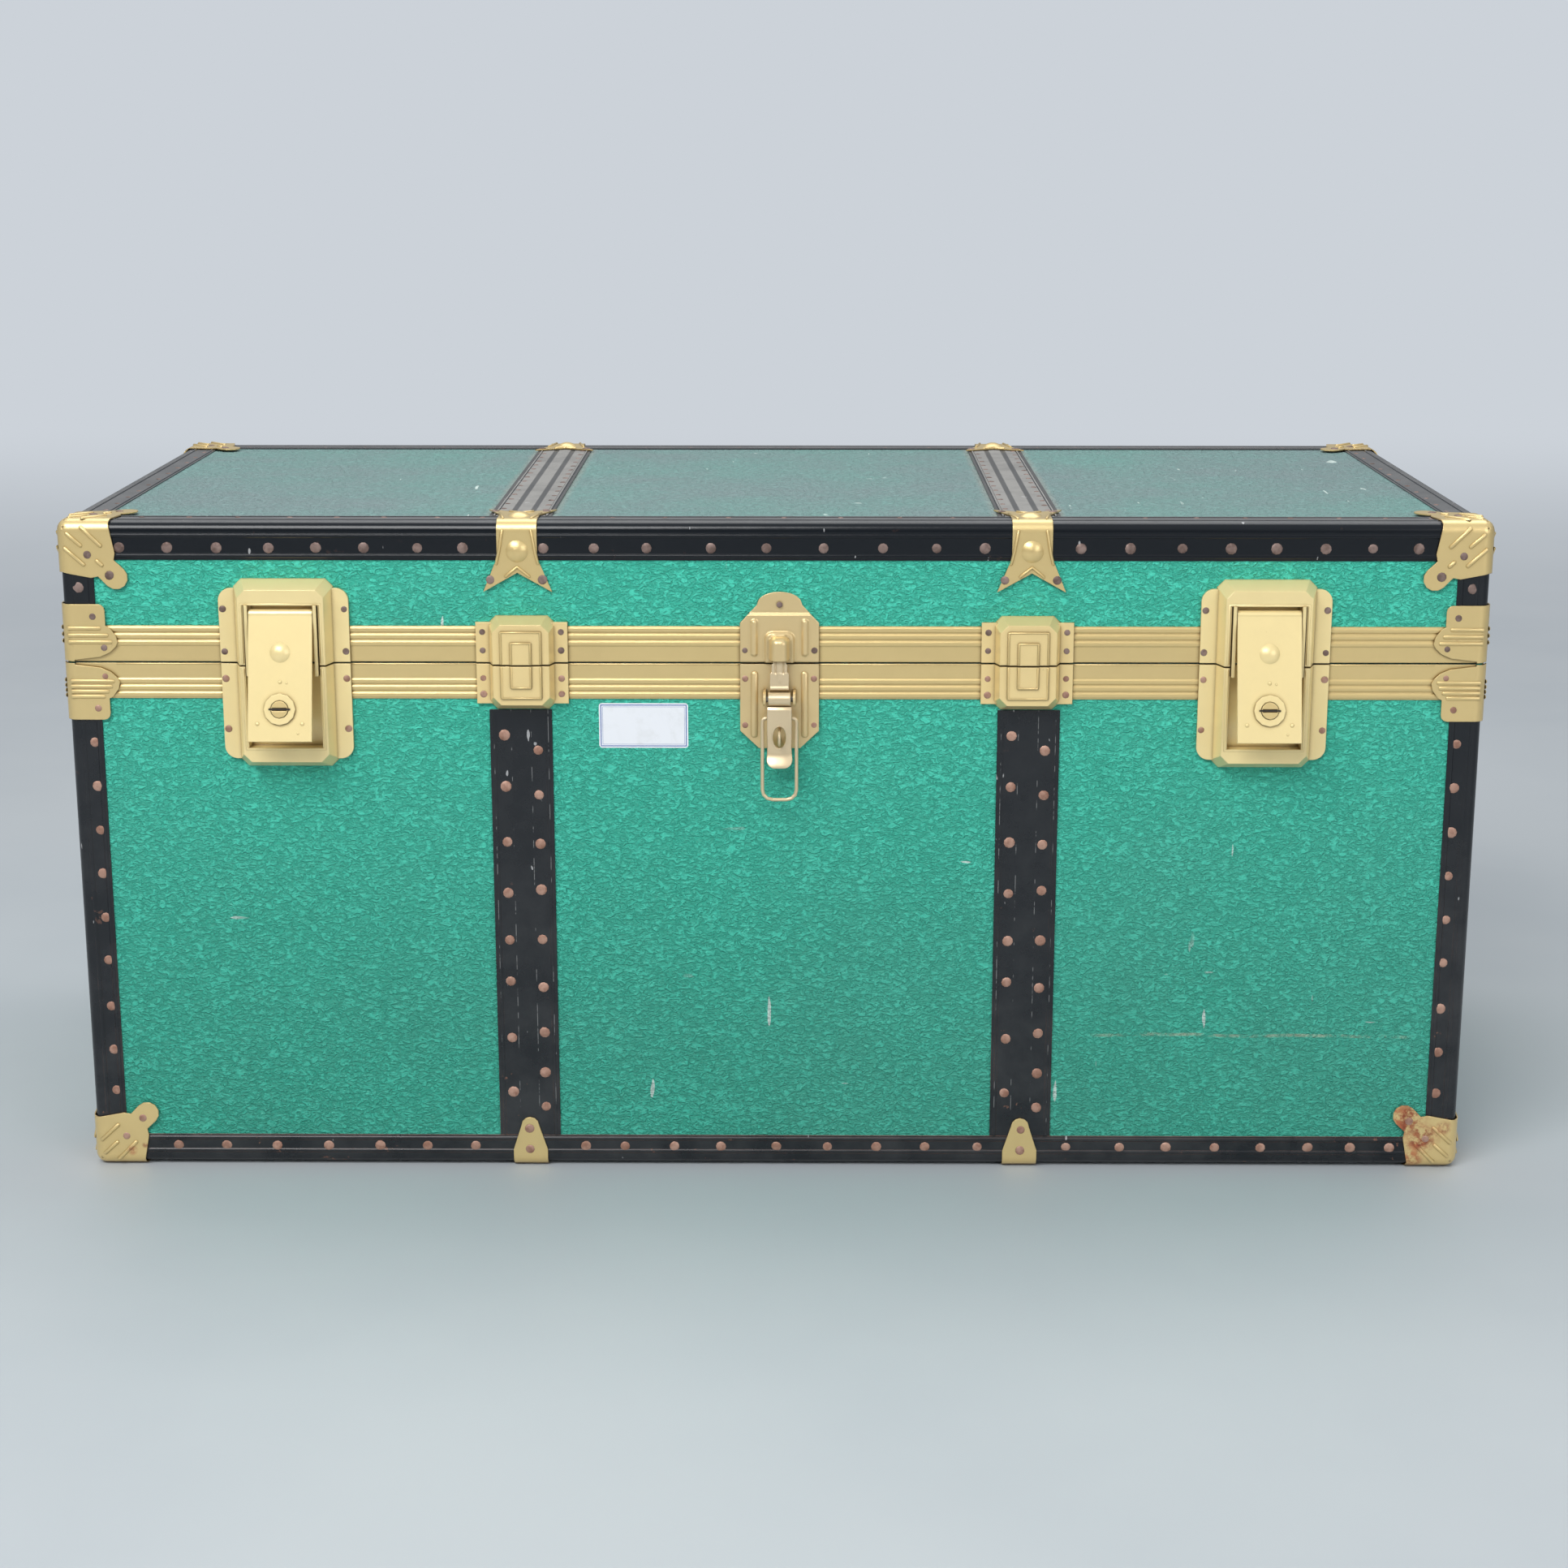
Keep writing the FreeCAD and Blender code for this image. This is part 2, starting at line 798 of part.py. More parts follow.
def sided_solid(rings):
    """A solid with flat sides between rings of points, closed at both ends."""
    faces = [Part.Face(Part.makePolygon(ring + ring[:1])) for ring in (rings[0], rings[-1])]
    for lower, upper in zip(rings, rings[1:]):
        for count, spot in enumerate(lower):
            after = (count + 1) % len(lower)
            corners = [spot, lower[after], upper[after], upper[count], spot]
            faces.append(Part.Face(Part.makePolygon(corners)))
    solid = Part.Solid(Part.Shell(faces))
    if solid.Volume < 0:
        solid.reverse()
    return solid


# a dome's rings, as shares of its radius and of its height
DOME_SHARES = ((1, 0), (0.74, 0.5), (0.32, 1))


def dome(centre, out, radius, high):
    """A low round boss on a face, sunk a little so that it joins it."""
    levels = [(radius, -number(size.cap_thick) / 2)]
    levels += [(radius * wide, high * rise) for wide, rise in DOME_SHARES]
    turns = [2 * math.pi * step / ROUND_SIDES for step in range(ROUND_SIDES)]
    rings = [
        [Vector(wide * math.cos(turn), wide * math.sin(turn), level) for turn in turns]
        for wide, level in levels
    ]
    body = sided_solid(rings)
    turn = FreeCAD.Rotation(Vector(0, 0, 1), Vector(*out))
    body.Placement = FreeCAD.Placement(Vector(*centre), turn)
    return body


# Corner caps: three lobed leaves that meet over a rounded corner

leg = number(size.cap_leg)
waist = (number(size.cap_waist_reach), number(size.cap_waist_depth))
notch = (number(size.cap_notch_reach), number(size.cap_notch_depth))
lobe = number(size.cap_lobe_centre)
lobe_round = number(size.cap_lobe_round)
LOBE_STEPS = 6


def cap_outline():
    """One leaf, measured from the corner along both edges, the same on either side."""
    out = -CAP_OUT
    half = [(leg, out), waist, notch]
    turn = [
        math.radians(-45 + 180 * step / LOBE_STEPS) for step in range(LOBE_STEPS + 1)
    ]
    tip = [(lobe + lobe_round * math.cos(a), lobe + lobe_round * math.sin(a)) for a in turn]
    back = [(y, x) for x, y in reversed(half)]
    return [(out, out)] + half + tip + back


def corner_shell(reach):
    """A hollow rounded corner: the panels lie on the positive side of each plane."""
    shells = []
    for stand in (CAP_OUT, CAP_IN):
        side = reach + stand
        block = Part.makeBox(side, side, side, Vector(-stand, -stand, -stand))
        near = []
        for edge in block.Edges:
            middle = edge.CenterOfMass
            on_planes = [abs(value + stand) < 1e-6 for value in middle]
            if sum(on_planes) == 2:
                near.append(edge)
        shells.append(eased(block, stand, near))
    return shells[0].cut(shells[1])


def corner_cap():
    reach = lobe + lobe_round + number(size.overrun)
    shell = corner_shell(reach)
    flat = face_prism(cap_outline(), -number(size.overrun), EDGE)
    middle = Vector(1, 1, 1)
    leaves = [flat]
    for angle in (120, 240):
        leaf = flat.copy()
        leaf.rotate(Vector(), middle, angle)
        leaves.append(leaf)
    return shell.common(leaves[0].fuse(leaves[1:]))


cap = feature("corner_cap", corner_cap())
place(cap, -half_wide, -half_deep, base)
keep("case_corners", *four_corners("case_caps", cap))
lid_cap = feature("lid_corner_cap", corner_cap().mirror(Vector(), Vector(0, 0, 1)))
place(lid_cap, -half_wide, -half_deep, roof)
keep("lid_corners", *four_corners("lid_caps", lid_cap))


# Rail corner plates: along the seam edge and away from it, as shares of the reach
# and of the rail's height, then the tab

plate_reach = number(size.plate_reach)
RAIL_HIGH = number(rail_high)
PLATE_SHARES = (
    (0.65, 0.13),
    (0.84, 0.25),
    (0.95, 0.40),
    (1.0, 0.53),
    (0.97, 0.72),
    (0.86, 0.94),
)


def plate_outline():
    tab = number(size.plate_tab_wide)
    top = RAIL_HIGH + number(size.plate_tab_high)
    nick = number(size.plate_tab_round)
    points = [(0.0, -CAP_OUT)]
    points += [(RAIL_HIGH * b, plate_reach * a) for a, b in PLATE_SHARES]
    points += [(RAIL_HIGH, tab), (top - nick, tab)]
    for step in (1, 2):
        angle = math.radians(90 - 30 * step)
        across = nick * math.cos(angle)
        down = nick * (1 - math.sin(angle))
        points.append((top - nick + across, tab - down))
    points += [(top, tab - nick), (top, -CAP_OUT)]
    return points


def seam_plate():
    """A plate folded over an edge along X, from the seam level at the origin."""
    points = plate_outline()
    high = RAIL_HIGH + number(size.plate_tab_high)
    overrun = number(size.overrun)
    return edge_sheet(points, points, high * 2 + overrun, plate_reach + overrun)


def upright(body, up):
    """Swap axes so that X runs up, the front leg faces left and the top leg front."""
    body = body.copy()
    body.rotate(Vector(), Vector(0, 1, 0), -90)
    # now X runs up, the front leg still faces -Y and the top leg faces -X
    if up < 0:
        body = body.mirror(Vector(), Vector(0, 0, 1))
    return body


plate_body = seam_plate()
case_plate = feature("case_seam_plate", upright(plate_body, -1))
place(case_plate, -half_wide, -half_deep, case_top)
keep("case_rail_corners", *four_corners("case_plates", case_plate))
lid_plate = feature("lid_seam_plate", upright(plate_body, 1))
place(lid_plate, -half_wide, -half_deep, lid_bottom)
keep("lid_rail_corners", *four_corners("lid_plates", lid_plate))


# Strap clamps: a fishtail plate over the top edges, a rounded one at the bottom

clamp_half = number(size.clamp_wide) / 2
clamp_flare = number(size.clamp_flare) / 2
clamp_reach = number(size.clamp_reach)
clamp_notch = number(size.clamp_notch)
FLARE_START_SHARE = 0.5


def fishtail():
    start = clamp_reach * FLARE_START_SHARE
    half = [(clamp_half, -CAP_OUT), (clamp_half, start), (clamp_flare, clamp_reach)]
    back = [(-x, y) for x, y in reversed(half)]
    return half + [(0.0, clamp_notch)] + back


def lid_clamp_shape():
    points = fishtail()
    body = edge_sheet(points, points, clamp_flare * 2 + EDGE, clamp_reach + EDGE)
    at = number(size.clamp_dome_place)
    radius = number(size.clamp_dome_round)
    high = number(size.clamp_dome_high)
    front = dome((0, -CAP_OUT, -at), (0, -1, 0), radius, high)
    top = dome((0, at, CAP_OUT), (0, 0, 1), radius, high)
    return body.fuse([front, top]).removeSplitter()


FOOT_SHOULDER_SHARE = 0.3


def foot_clamp_shape():
    half = number(size.foot_clamp_wide) / 2
    narrow = number(size.foot_clamp_top) / 2
    high = number(size.foot_clamp_high) - CAP_OUT
    side = [(half, -CAP_OUT), (half, high * FOOT_SHOULDER_SHARE), (narrow, high - narrow)]
    steps = 6
    tip = []
    for step in range(1, steps):
        angle = math.pi * step / steps
        tip.append((narrow * math.cos(angle), high - narrow + narrow * math.sin(angle)))
    points = side + tip + [(-x, y) for x, y in reversed(side)]
    body = edge_sheet(points, points, half * 2 + EDGE, high + EDGE)
    return body.mirror(Vector(), Vector(0, 0, 1))


lid_clamp = feature("lid_clamp", lid_clamp_shape())
place(lid_clamp, -strap_place, -half_deep, roof)
keep("lid_clamps", *four_corners("lid_clamp_set", lid_clamp))
foot_clamp = feature("foot_clamp", foot_clamp_shape())
place(foot_clamp, -strap_place, -half_deep, base)
keep("case_clamps", *four_corners("foot_clamp_set", foot_clamp))


# Hardware across the seam lies on the rails: every plate is cut away over them

rail_seat = size.cap_stand
plate_out = rail_seat + size.lock_plate_thick
seam_half = size.seam_gap / 2


def seat_cutter(name, wide, up):
    """The room that the rails take behind a plate, on one side of the seam."""
    low = -rail_high - seam_half - size.face_gap
    z = (low, size.overrun) if up < 0 else (-size.overrun, -low)
    return box(name + "_seat", (-wide, wide), (-rail_seat, size.overrun), z)


def band(low, high, up):
    """Limits along Z for a distance band from the seam, downwards or upwards."""
    return (-high, -low) if up < 0 else (low, high)


def pressed_body(proud, high, crown_high, half, crown_half, up):
    """A raised body with sloping sides and cut corners away from the seam."""
    nick = number(size.pressed_corner)
    rings = []
    for out, wide, far in ((nothing, half, high), (proud, crown_half, crown_high)):
        y, side, near, end = -number(out), number(wide), number(seam_half), number(far)
        spots = [(-side, near), (side, near), (side, end - nick), (side - nick, end)]
        spots += [(nick - side, end), (-side, end - nick)]
        rings.append([Vector(x, y, z * up) for x, z in spots])
    return sided_solid(rings)


# Lever locks


def lock_plate(name, up, flange_high, body_high, recess_high):
    half = size.lock_flange_wide / 2
    nick = size.lock_flange_round
    path = [
        (-half, seam_half),
        (half, seam_half),
        (half, flange_high - nick, nick, 1),
        (half - nick, flange_high),
        (nick - half, flange_high, nick, 1),
        (-half, flange_high - nick),
    ]
    corners = []
    for step in path:
        spot = (step[0], flip(up, step[1]))
        if len(step) > 2:
            spot += (step[2], step[3] * up)
        corners.append(spot)
    flange = pad(name + "_flange", "XZ_Plane", corners, plate_out)
    low_half = size.lock_body_wide / 2
    high_half = size.lock_body_crown / 2
    proud = plate_out + size.lock_body_proud
    crown_high = body_high - size.lock_body_slope
    raised = pressed_body(proud, body_high, crown_high, low_half, high_half, up)
    body = feature(name + "_body", raised)
    recess_half = size.lock_recess_wide / 2
    recess = box(
        name + "_recess",
        (-recess_half, recess_half),
        (-proud - size.overrun, -plate_out),
        band(-size.overrun, recess_high, up),
    )
    shell = fuse(name + "_solid", flange, body)
    return cut(name, shell, seat_cutter(name, half + size.overrun, up), recess)


pivot_y = -(plate_out + size.flap_pivot_out)
pivot_z = size.flap_pivot_rise
flap_half = size.flap_wide / 2
cheek_in = flap_half + size.cheek_gap
cheek_out = cheek_in + size.cheek_thick
keeper_z = pivot_z - size.keeper_place


def lock_case_side(prefix):
    plate = lock_plate(
        prefix + "_case",
        -1,
        size.lock_flange_drop,
        size.lock_body_drop,
        size.lock_recess_drop,
    )
    return plate


def lock_lid_side(prefix):
    plate = lock_plate(
        prefix + "_lid",
        1,
        size.lock_flange_rise,
        size.lock_body_rise,
        size.lock_recess_rise,
    )
    cheek_front = pivot_y - size.flap_roll - size.cheek_gap
    parts = [plate]
    for side in (-1, 1):
        x = (cheek_in, cheek_out) if side > 0 else (-cheek_out, -cheek_in)
        word = "%s_cheek_%s" % (prefix, "right" if side > 0 else "left")
        parts.append(
            box(word, x, (cheek_front, -plate_out), (seam_half, size.lock_recess_rise))
        )
        parts.append(
            box(
                word + "_tab",
                x,
                (cheek_front, -plate_out - size.cheek_gap),
                (-size.cheek_drop, seam_half + size.cheek_gap),
            )
        )
    pin = rod(
        prefix + "_flap_pin", size.flap_pin, cheek_out * 2, -cheek_out, pivot_y, pivot_z, "x"
    )
    return fuse(prefix + "_lid_lock", *parts, pin)


def keeper(prefix):
    half = size.keeper_wide / 2
    tip = -(plate_out + size.keeper_proud)
    blade = box(
        prefix + "_keeper_blade",
        (-half, half),
        (tip, -plate_out),
        (keeper_z - size.keeper_high / 2, keeper_z + size.keeper_high / 2),
    )
    eye_y = tip + size.keeper_tip
    eye_half = size.bolt_wide / 2 + size.fit_gap
    eye = box(
        prefix + "_keeper_eye",
        (-half - size.overrun, half + size.overrun),
        (eye_y, eye_y + size.bolt_thick + size.fit_gap * 2),
        (keeper_z - eye_half, keeper_z + eye_half),
    )
    return cut(prefix + "_keeper", blade, eye)


# The flap's own frame has the pivot at its origin and hangs straight down

flap_front = size.flap_roll_step - size.flap_roll
flap_back = flap_front + size.flap_thick
box_back = flap_back + size.case_box_deep
bolt_y = size.keeper_tip + size.fit_gap - size.keeper_proud + size.flap_pivot_out


def flap(prefix):
    roll = rod(
        prefix + "_roll", size.flap_roll, size.flap_wide, -flap_half, nothing, nothing, "x"
    )
    sheet_part = box(
        prefix + "_leaf", (-flap_half, flap_half), (flap_front, flap_back), (-size.flap_long, nothing)
    )
    boss = rod(
        prefix + "_boss",
        size.flap_key_boss,
        size.flap_boss_high + size.flap_thick / 2,
        nothing,
        flap_front - size.flap_boss_high,
        -size.flap_key_place,
        "y",
    )
    spot = (0, number(flap_front), -number(size.flap_dome_place))
    crown = dome(spot, (0, -1, 0), number(size.flap_dome_round), number(size.flap_dome_high))
    bump = feature(prefix + "_dome", crown)
    body = fuse(prefix + "_flap_solid", roll, sheet_part, boss, bump)
    bore = rod(
        prefix + "_roll_bore",
        size.flap_pin + size.fit_gap / 2,
        size.flap_wide + size.overrun * 2,
        -flap_half - size.overrun,
        nothing,
        nothing,
        "x",
    )
    hole = rod(
        prefix + "_plug_hole",
        size.plug_round + size.fit_gap,
        size.overrun * 4,
        nothing,
        -size.overrun * 2,
        -size.flap_key_place,
        "y",
    )
    return cut(prefix + "_flap", body, bore, hole)


bolt_end = -(size.keeper_wide / 2 + size.fit_gap * 2)
bolt_start = bolt_end - size.bolt_long
bolt_half = size.bolt_wide / 2


def mechanism_case(prefix):
    half = size.case_box_wide / 2
    low = -(size.flap_key_place + size.plug_round + size.case_box_wall)
    high = low + size.case_box_high
    block = box(prefix + "_box_block", (-half, half), (flap_back, box_back), (low, high))
    slot_half = size.keeper_wide / 2 + size.fit_gap
    slot_tall = size.keeper_high / 2 + size.keeper_room
    slot = box(
        prefix + "_box_slot",
        (-slot_half, slot_half),
        (bolt_y - size.keeper_tip - size.fit_gap * 2, box_back + size.overrun),
        (-size.keeper_place - slot_tall, slot_tall - size.keeper_place),
    )
    room = bolt_half + size.fit_gap / 2
    channel = box(
        prefix + "_box_channel",
        (bolt_start - size.fit_gap, bolt_end + size.bolt_travel + size.fit_gap),
        (bolt_y - size.fit_gap / 2, bolt_y + size.bolt_thick + size.fit_gap / 2),
        (-size.keeper_place - room, room - size.keeper_place),
    )
    hole = rod(
        prefix + "_box_hole",
        size.plug_round + size.fit_gap,
        size.overrun * 4,
        nothing,
        -size.overrun * 2,
        -size.flap_key_place,
        "y",
    )
    return cut(prefix + "_lock_box", block, slot, channel, hole)


def plug(prefix):
    front = flap_front - size.flap_boss_high - size.plug_proud
    core = rod(
        prefix + "_plug_core",
        size.plug_round,
        box_back - front,
        nothing,
        front,
        -size.flap_key_place,
        "y",
    )
    slot_half = size.plug_slot_wide / 2
    long_half = size.plug_slot_long / 2
    slot = box(
        prefix + "_plug_slot",
        (-long_half, long_half),
        (front - size.overrun, front + size.plug_slot_deep),
        (-size.flap_key_place - slot_half, slot_half - size.flap_key_place),
    )
    return cut(prefix + "_plug", core, slot)


def bolt(prefix):
    bar = box(
        prefix + "_bolt_bar",
        (bolt_start, bolt_end),
        (bolt_y, bolt_y + size.bolt_thick),
        (-size.keeper_place - bolt_half, bolt_half - size.keeper_place),
    )
    return group(prefix + "_bolt", bar)


def seat_on_flap(node, x):
    """Turn a piece about the flap's pivot to the angle at which the flap stands."""
    node.Placement = FreeCAD.Placement(Vector(), FreeCAD.Rotation(Vector(-1, 0, 0), 1))
    node.setExpression("Placement.Rotation.Angle", size.flap_open_degrees.text)
    place(node, x, pivot_y - half_deep, seam_height + pivot_z)


for prefix, x in (("left_lock", -lock_place), ("right_lock", lock_place)):
    for word, piece in (
        ("case_plate", lock_case_side(prefix)),
        ("lid_plate", lock_lid_side(prefix)),
        ("keeper", keeper(prefix)),
    ):
        place(piece, x, -half_deep, seam_height)
        keep("%s_%s" % (prefix, word), piece)
    for word, piece in (
        ("flap", flap(prefix)),
        ("case", mechanism_case(prefix)),
        ("plug", plug(prefix)),
        ("bolt", bolt(prefix)),
    ):
        seat_on_flap(piece, x)
        keep("%s_%s" % (prefix, word), piece)


# The draw hasp: a plate with a hood on the lid, a lever and a link on the case


def hasp_lid_plate():
    half = size.hasp_plate_wide / 2
    arch = size.hasp_arch_wide / 2
    crown = size.hasp_arch_rise - size.hasp_arch_high
    corners = [
        (-half, seam_half),
        (half, seam_half),
        (half, size.hasp_shoulder_rise),
        (arch, crown, size.hasp_arch_round, 1),
        (-arch, crown),
        (-half, size.hasp_shoulder_rise),
    ]
    plate = pad("hasp_lid_sheet", "XZ_Plane", corners, plate_out)
    proud = plate_out + size.hood_proud
    low = size.hood_mouth
    high = size.hood_rise
    outer = size.hood_wide / 2
    inner = outer - size.hood_wall
    slope = size.hood_slope
    hood = wedge(
        "hood_block",
        (slope - outer, outer - slope),
        (-proud, -rail_seat),
        (low, high - slope),
        (-outer, outer),
        (low, high),
    )
    room = wedge(
        "hood_room",
        (slope - inner, inner - slope),
        (size.hood_wall - proud, -plate_out),
        (low - size.overrun, high - slope - size.hood_wall),
        (-inner, inner),
        (low - size.overrun, high - size.hood_wall),
    )
    solid = fuse("hasp_lid_solid", plate, hood)
    seat = seat_cutter("hasp_lid", half + size.overrun, 1)
    return cut("hasp_lid", solid, seat, room)


lever_y = -(plate_out + size.lever_pivot_out)
lever_z = -size.lever_pivot_drop
lever_half = size.lever_wide / 2
ear_in = lever_half + size.fit_gap
ear_out = ear_in + size.ear_thick


def hasp_case_plate():
    half = size.hasp_plate_wide / 2
    foot = size.hasp_foot_wide / 2
    corners = [
        (-half, -seam_half),
        (-half, -size.hasp_plate_drop),
        (-foot, -size.hasp_foot_drop),
        (foot, -size.hasp_foot_drop),
        (half, -size.hasp_plate_drop),
        (half, -seam_half),
    ]
    plate = pad("hasp_case_sheet", "XZ_Plane", corners, plate_out)
    parts = [plate]
    for side in (-1, 1):
        x = (ear_in, ear_out) if side > 0 else (-ear_out, -ear_in)
        word = "right" if side > 0 else "left"
        ear = box(
            "hasp_ear_" + word,
            x,
            (lever_y, -rail_seat),
            (lever_z - size.lever_knuckle, lever_z + size.lever_knuckle),
        )
        tip = rod(
            "hasp_ear_tip_" + word,
            size.lever_knuckle,
            size.ear_thick,
            x[0],
            lever_y,
            lever_z,
            "x",
        )
        parts += [ear, tip]
    solid = fuse("hasp_case_solid", *parts)
    seat = seat_cutter("hasp_case", half + size.overrun, -1)
    bore = rod(
        "hasp_ear_bore", size.lever_pin, ear_out * 4, -ear_out * 2, lever_y, lever_z, "x"
    )
    return cut("hasp_case", solid, seat, bore)


ROUND_END_SHARE = 1.04

# The lever's own frame has its pivot at the origin and hangs straight down

lever_front = size.lever_step - size.lever_knuckle
lever_back = lever_front + size.lever_thick
bail_y = lever_back + size.bail_wire / 2 + size.face_gap
bail_z = -size.bail_pivot_drop


def hasp_lever():
    knuckle = rod(
        "lever_knuckle", size.lever_knuckle, size.lever_wide, -lever_half, nothing, nothing, "x"
    )
    tail = rod_ended_plate(
        "lever_tail", lever_half, size.lever_tail, lever_front, size.lever_thick
    )
    block_half = size.bail_block / 2
    block_y = (lever_front + size.lever_step, bail_y + size.bail_wire)
    block_z = (bail_z - size.bail_wire, bail_z + size.bail_wire)
    block = box("bail_block", (-block_half, block_half), block_y, block_z)
    solid = fuse("lever_solid", knuckle, tail, block)
    bore = rod(
        "lever_bore",
        size.lever_pin + size.fit_gap / 2,
        lever_half * 4,
        -lever_half * 2,
        nothing,
        nothing,
        "x",
    )
    bail_bore = rod(
        "bail_bore",
        size.bail_wire / 2 + size.fit_gap / 2,
        lever_half * 4,
        -lever_half * 2,
        bail_y,
        bail_z,
        "x",
    )
    eye_half = size.lever_eye_wide / 2
    eye_drop = size.lever_eye_drop
    long_half = size.lever_eye_high / 2 - eye_half
    eye = pad(
        "lever_eye",
        "XZ_Plane",
        [
            (eye_half, long_half - eye_drop, eye_half * ROUND_END_SHARE, 1),
            (-eye_half, long_half - eye_drop),
            (-eye_half, -long_half - eye_drop, eye_half * ROUND_END_SHARE, 1),
            (eye_half, -long_half - eye_drop),
        ],
        size.lever_knuckle * 2,
    )
    place(eye, y=nothing)
    return cut("hasp_lever", solid, bore, bail_bore, eye)


def rod_ended_plate(name, half, drop, front, thick):
    """A strip that hangs from the pivot and ends in a half round."""
    body = pad(
        name,
        "XZ_Plane",
        [
            (-half, nothing),
            (-half, half - drop, half * ROUND_END_SHARE, 1),
            (half, half - drop),
            (half, nothing),
        ],
        thick,
    )
    return place(body, y=front + thick)


def hasp_link():
    half = size.link_wide / 2
    hook = size.link_hook_wide / 2
    low = lever_z + size.lever_knuckle + size.face_gap
    tip = size.link_rise
    corners = [
        (-hook, low),
        (hook, low),
        (hook, seam_half),
        (half, seam_half + size.link_gap * 4),
        (half, tip - hook),
        (hook, tip - half),
        (half, tip),
        (-half, tip),
        (-hook, tip - half),
        (-half, tip - hook),
        (-half, seam_half + size.link_gap * 4),
        (-hook, seam_half),
    ]
    body = pad("link_sheet", "XZ_Plane", corners, size.link_thick)
    place(body, y=lever_y + size.link_thick)
    return group("hasp_link", body)


def hasp_bail():
    wire = number(size.bail_wire) / 2
    side = number(size.bail_wide) / 2 - wire
    inner = number(size.bail_block) / 2 * BAIL_END_SHARE
    drop = number(size.bail_drop) - wire
    bend = number(size.bail_bend)
    right = [(inner, 0, 0), (side, 0, 0), (side, 0, -drop)]
    left = [(-x, y, z) for x, y, z in reversed(right)]
    tight = number(size.bail_wire)
    return bent_wire(right + left, (tight, bend, bend, tight), wire)


BAIL_END_SHARE = 0.3


# sides of a drawn wire's section, and flats round each of its bends
WIRE_SIDES = 10
BEND_STEPS = 3


def bend_spots(before, here, after, bend):
    """Points round a bend between two straight runs."""
    toward = (before - here).normalize()
    onward = (after - here).normalize()
    half_angle = toward.getAngle(onward) / 2
    inward = (toward + onward).normalize()
    centre = here + inward * (bend / math.sin(half_angle))
    first = here + toward * (bend / math.tan(half_angle)) - centre
    turn = toward.cross(onward)
    sweep = math.degrees(math.pi - half_angle * 2)
    spots = []
    for step in range(BEND_STEPS + 1):
        rotation = FreeCAD.Rotation(turn, -sweep * step / BEND_STEPS)
        spots.append(centre + rotation.multVec(first))
    return spots


def bent_wire(points, bends, radius):
    """Straight runs joined by rounded bends, each bend with its own radius."""
    spots = [Vector(*point) for point in points]
    path = [spots[0]]
    for before, here, after, bend in zip(spots, spots[1:], spots[2:], bends):
        path += bend_spots(before, here, after, bend)
    path.append(spots[-1])
    along = (path[1] - path[0]).normalize()
    circle = Part.Circle(path[0], along, radius).toShape()
    ring = circle.discretize(WIRE_SIDES + 1)[:-1]
    rings = [ring]
    for number_here, here in enumerate(path[1:], start=1):
        ahead = (here - path[number_here - 1]).normalize()
        if number_here + 1 < len(path):
            ahead_next = (path[number_here + 1] - here).normalize()
        else:
            ahead_next = ahead
        facing = (ahead + ahead_next).normalize()
        ring = [
            spot + ahead * ((here - spot).dot(facing) / ahead.dot(facing)) for spot in ring
        ]
        rings.append(ring)
    return sided_solid(rings)


def hasp_staple():
    """A wire arch that stands out of the case plate through the lever's eye."""
    wire = number(size.staple_wire) / 2
    span = number(size.staple_span) / 2
    foot = -number(plate_out)
    out = number(lever_y + lever_front) - number(size.staple_proud)
    middle = number(lever_z - size.lever_eye_drop)
    points = [
        (0, foot, middle + span),
        (0, out, middle + span),
        (0, out, middle - span),
        (0, foot, middle - span),
    ]
    bend = span * STAPLE_BEND_SHARE
    return bent_wire(points, (bend, bend), wire)


STAPLE_BEND_SHARE = 0.8

hasp_x = size.hasp_place
for word, piece in (
    ("hasp_lid_plate", hasp_lid_plate()),
    ("hasp_case_plate", hasp_case_plate()),
    ("hasp_link", hasp_link()),
    ("hasp_staple", feature("staple", hasp_staple())),
):
    place(piece, hasp_x, -half_deep, seam_height)
    keep(word, piece)
lever = hasp_lever()
place(lever, hasp_x, lever_y - half_deep, seam_height + lever_z)
keep("hasp_lever", lever)
bail = feature("bail", hasp_bail())
place(bail, hasp_x, lever_y + bail_y - half_deep, seam_height + lever_z + bail_z)
keep("hasp_bail", bail)
pin_solid = rod("hasp_pin_rod", size.lever_pin, ear_out * 2, -ear_out, lever_y, lever_z, "x")
pin_node = group("hasp_pin_node", pin_solid)
place(pin_node, hasp_x, -half_deep, seam_height)
keep("hasp_pin", pin_node)


# Dowel clamps: a tongue under the lid plate drops into a socket in the case plate


def dowel_half(name, up):
    half = size.dowel_flange_wide / 2
    body_half = size.dowel_body_wide / 2
    crown_half = size.dowel_crown_wide / 2
    proud = plate_out + size.dowel_body_proud
    crown_high = size.dowel_body_high - size.dowel_body_slope
    flange = box(
        name + "_flange",
        (-half, half),
        (-plate_out, nothing),
        band(seam_half, size.dowel_flange_high, up),
    )
    raised = pressed_body(
        proud, size.dowel_body_high, crown_high, body_half, crown_half, up
    )
    body = feature(name + "_body", raised)
    step_half = size.dowel_step_wide / 2
    boss_half = size.dowel_boss_wide / 2
    step = box(
        name + "_step",
        (-step_half, step_half),
        (-proud - size.dowel_step_high, -plate_out),
        band(seam_half, size.dowel_step_reach, up),
    )
    boss = box(
        name + "_boss",
        (-boss_half, boss_half),
        (-proud - size.dowel_step_high * 2, -plate_out),
        band(seam_half, size.dowel_boss_reach, up),
    )
    solid = fuse(name + "_full", flange, body, step, boss)
    return cut(name, solid, seat_cutter(name, half + size.overrun, up))


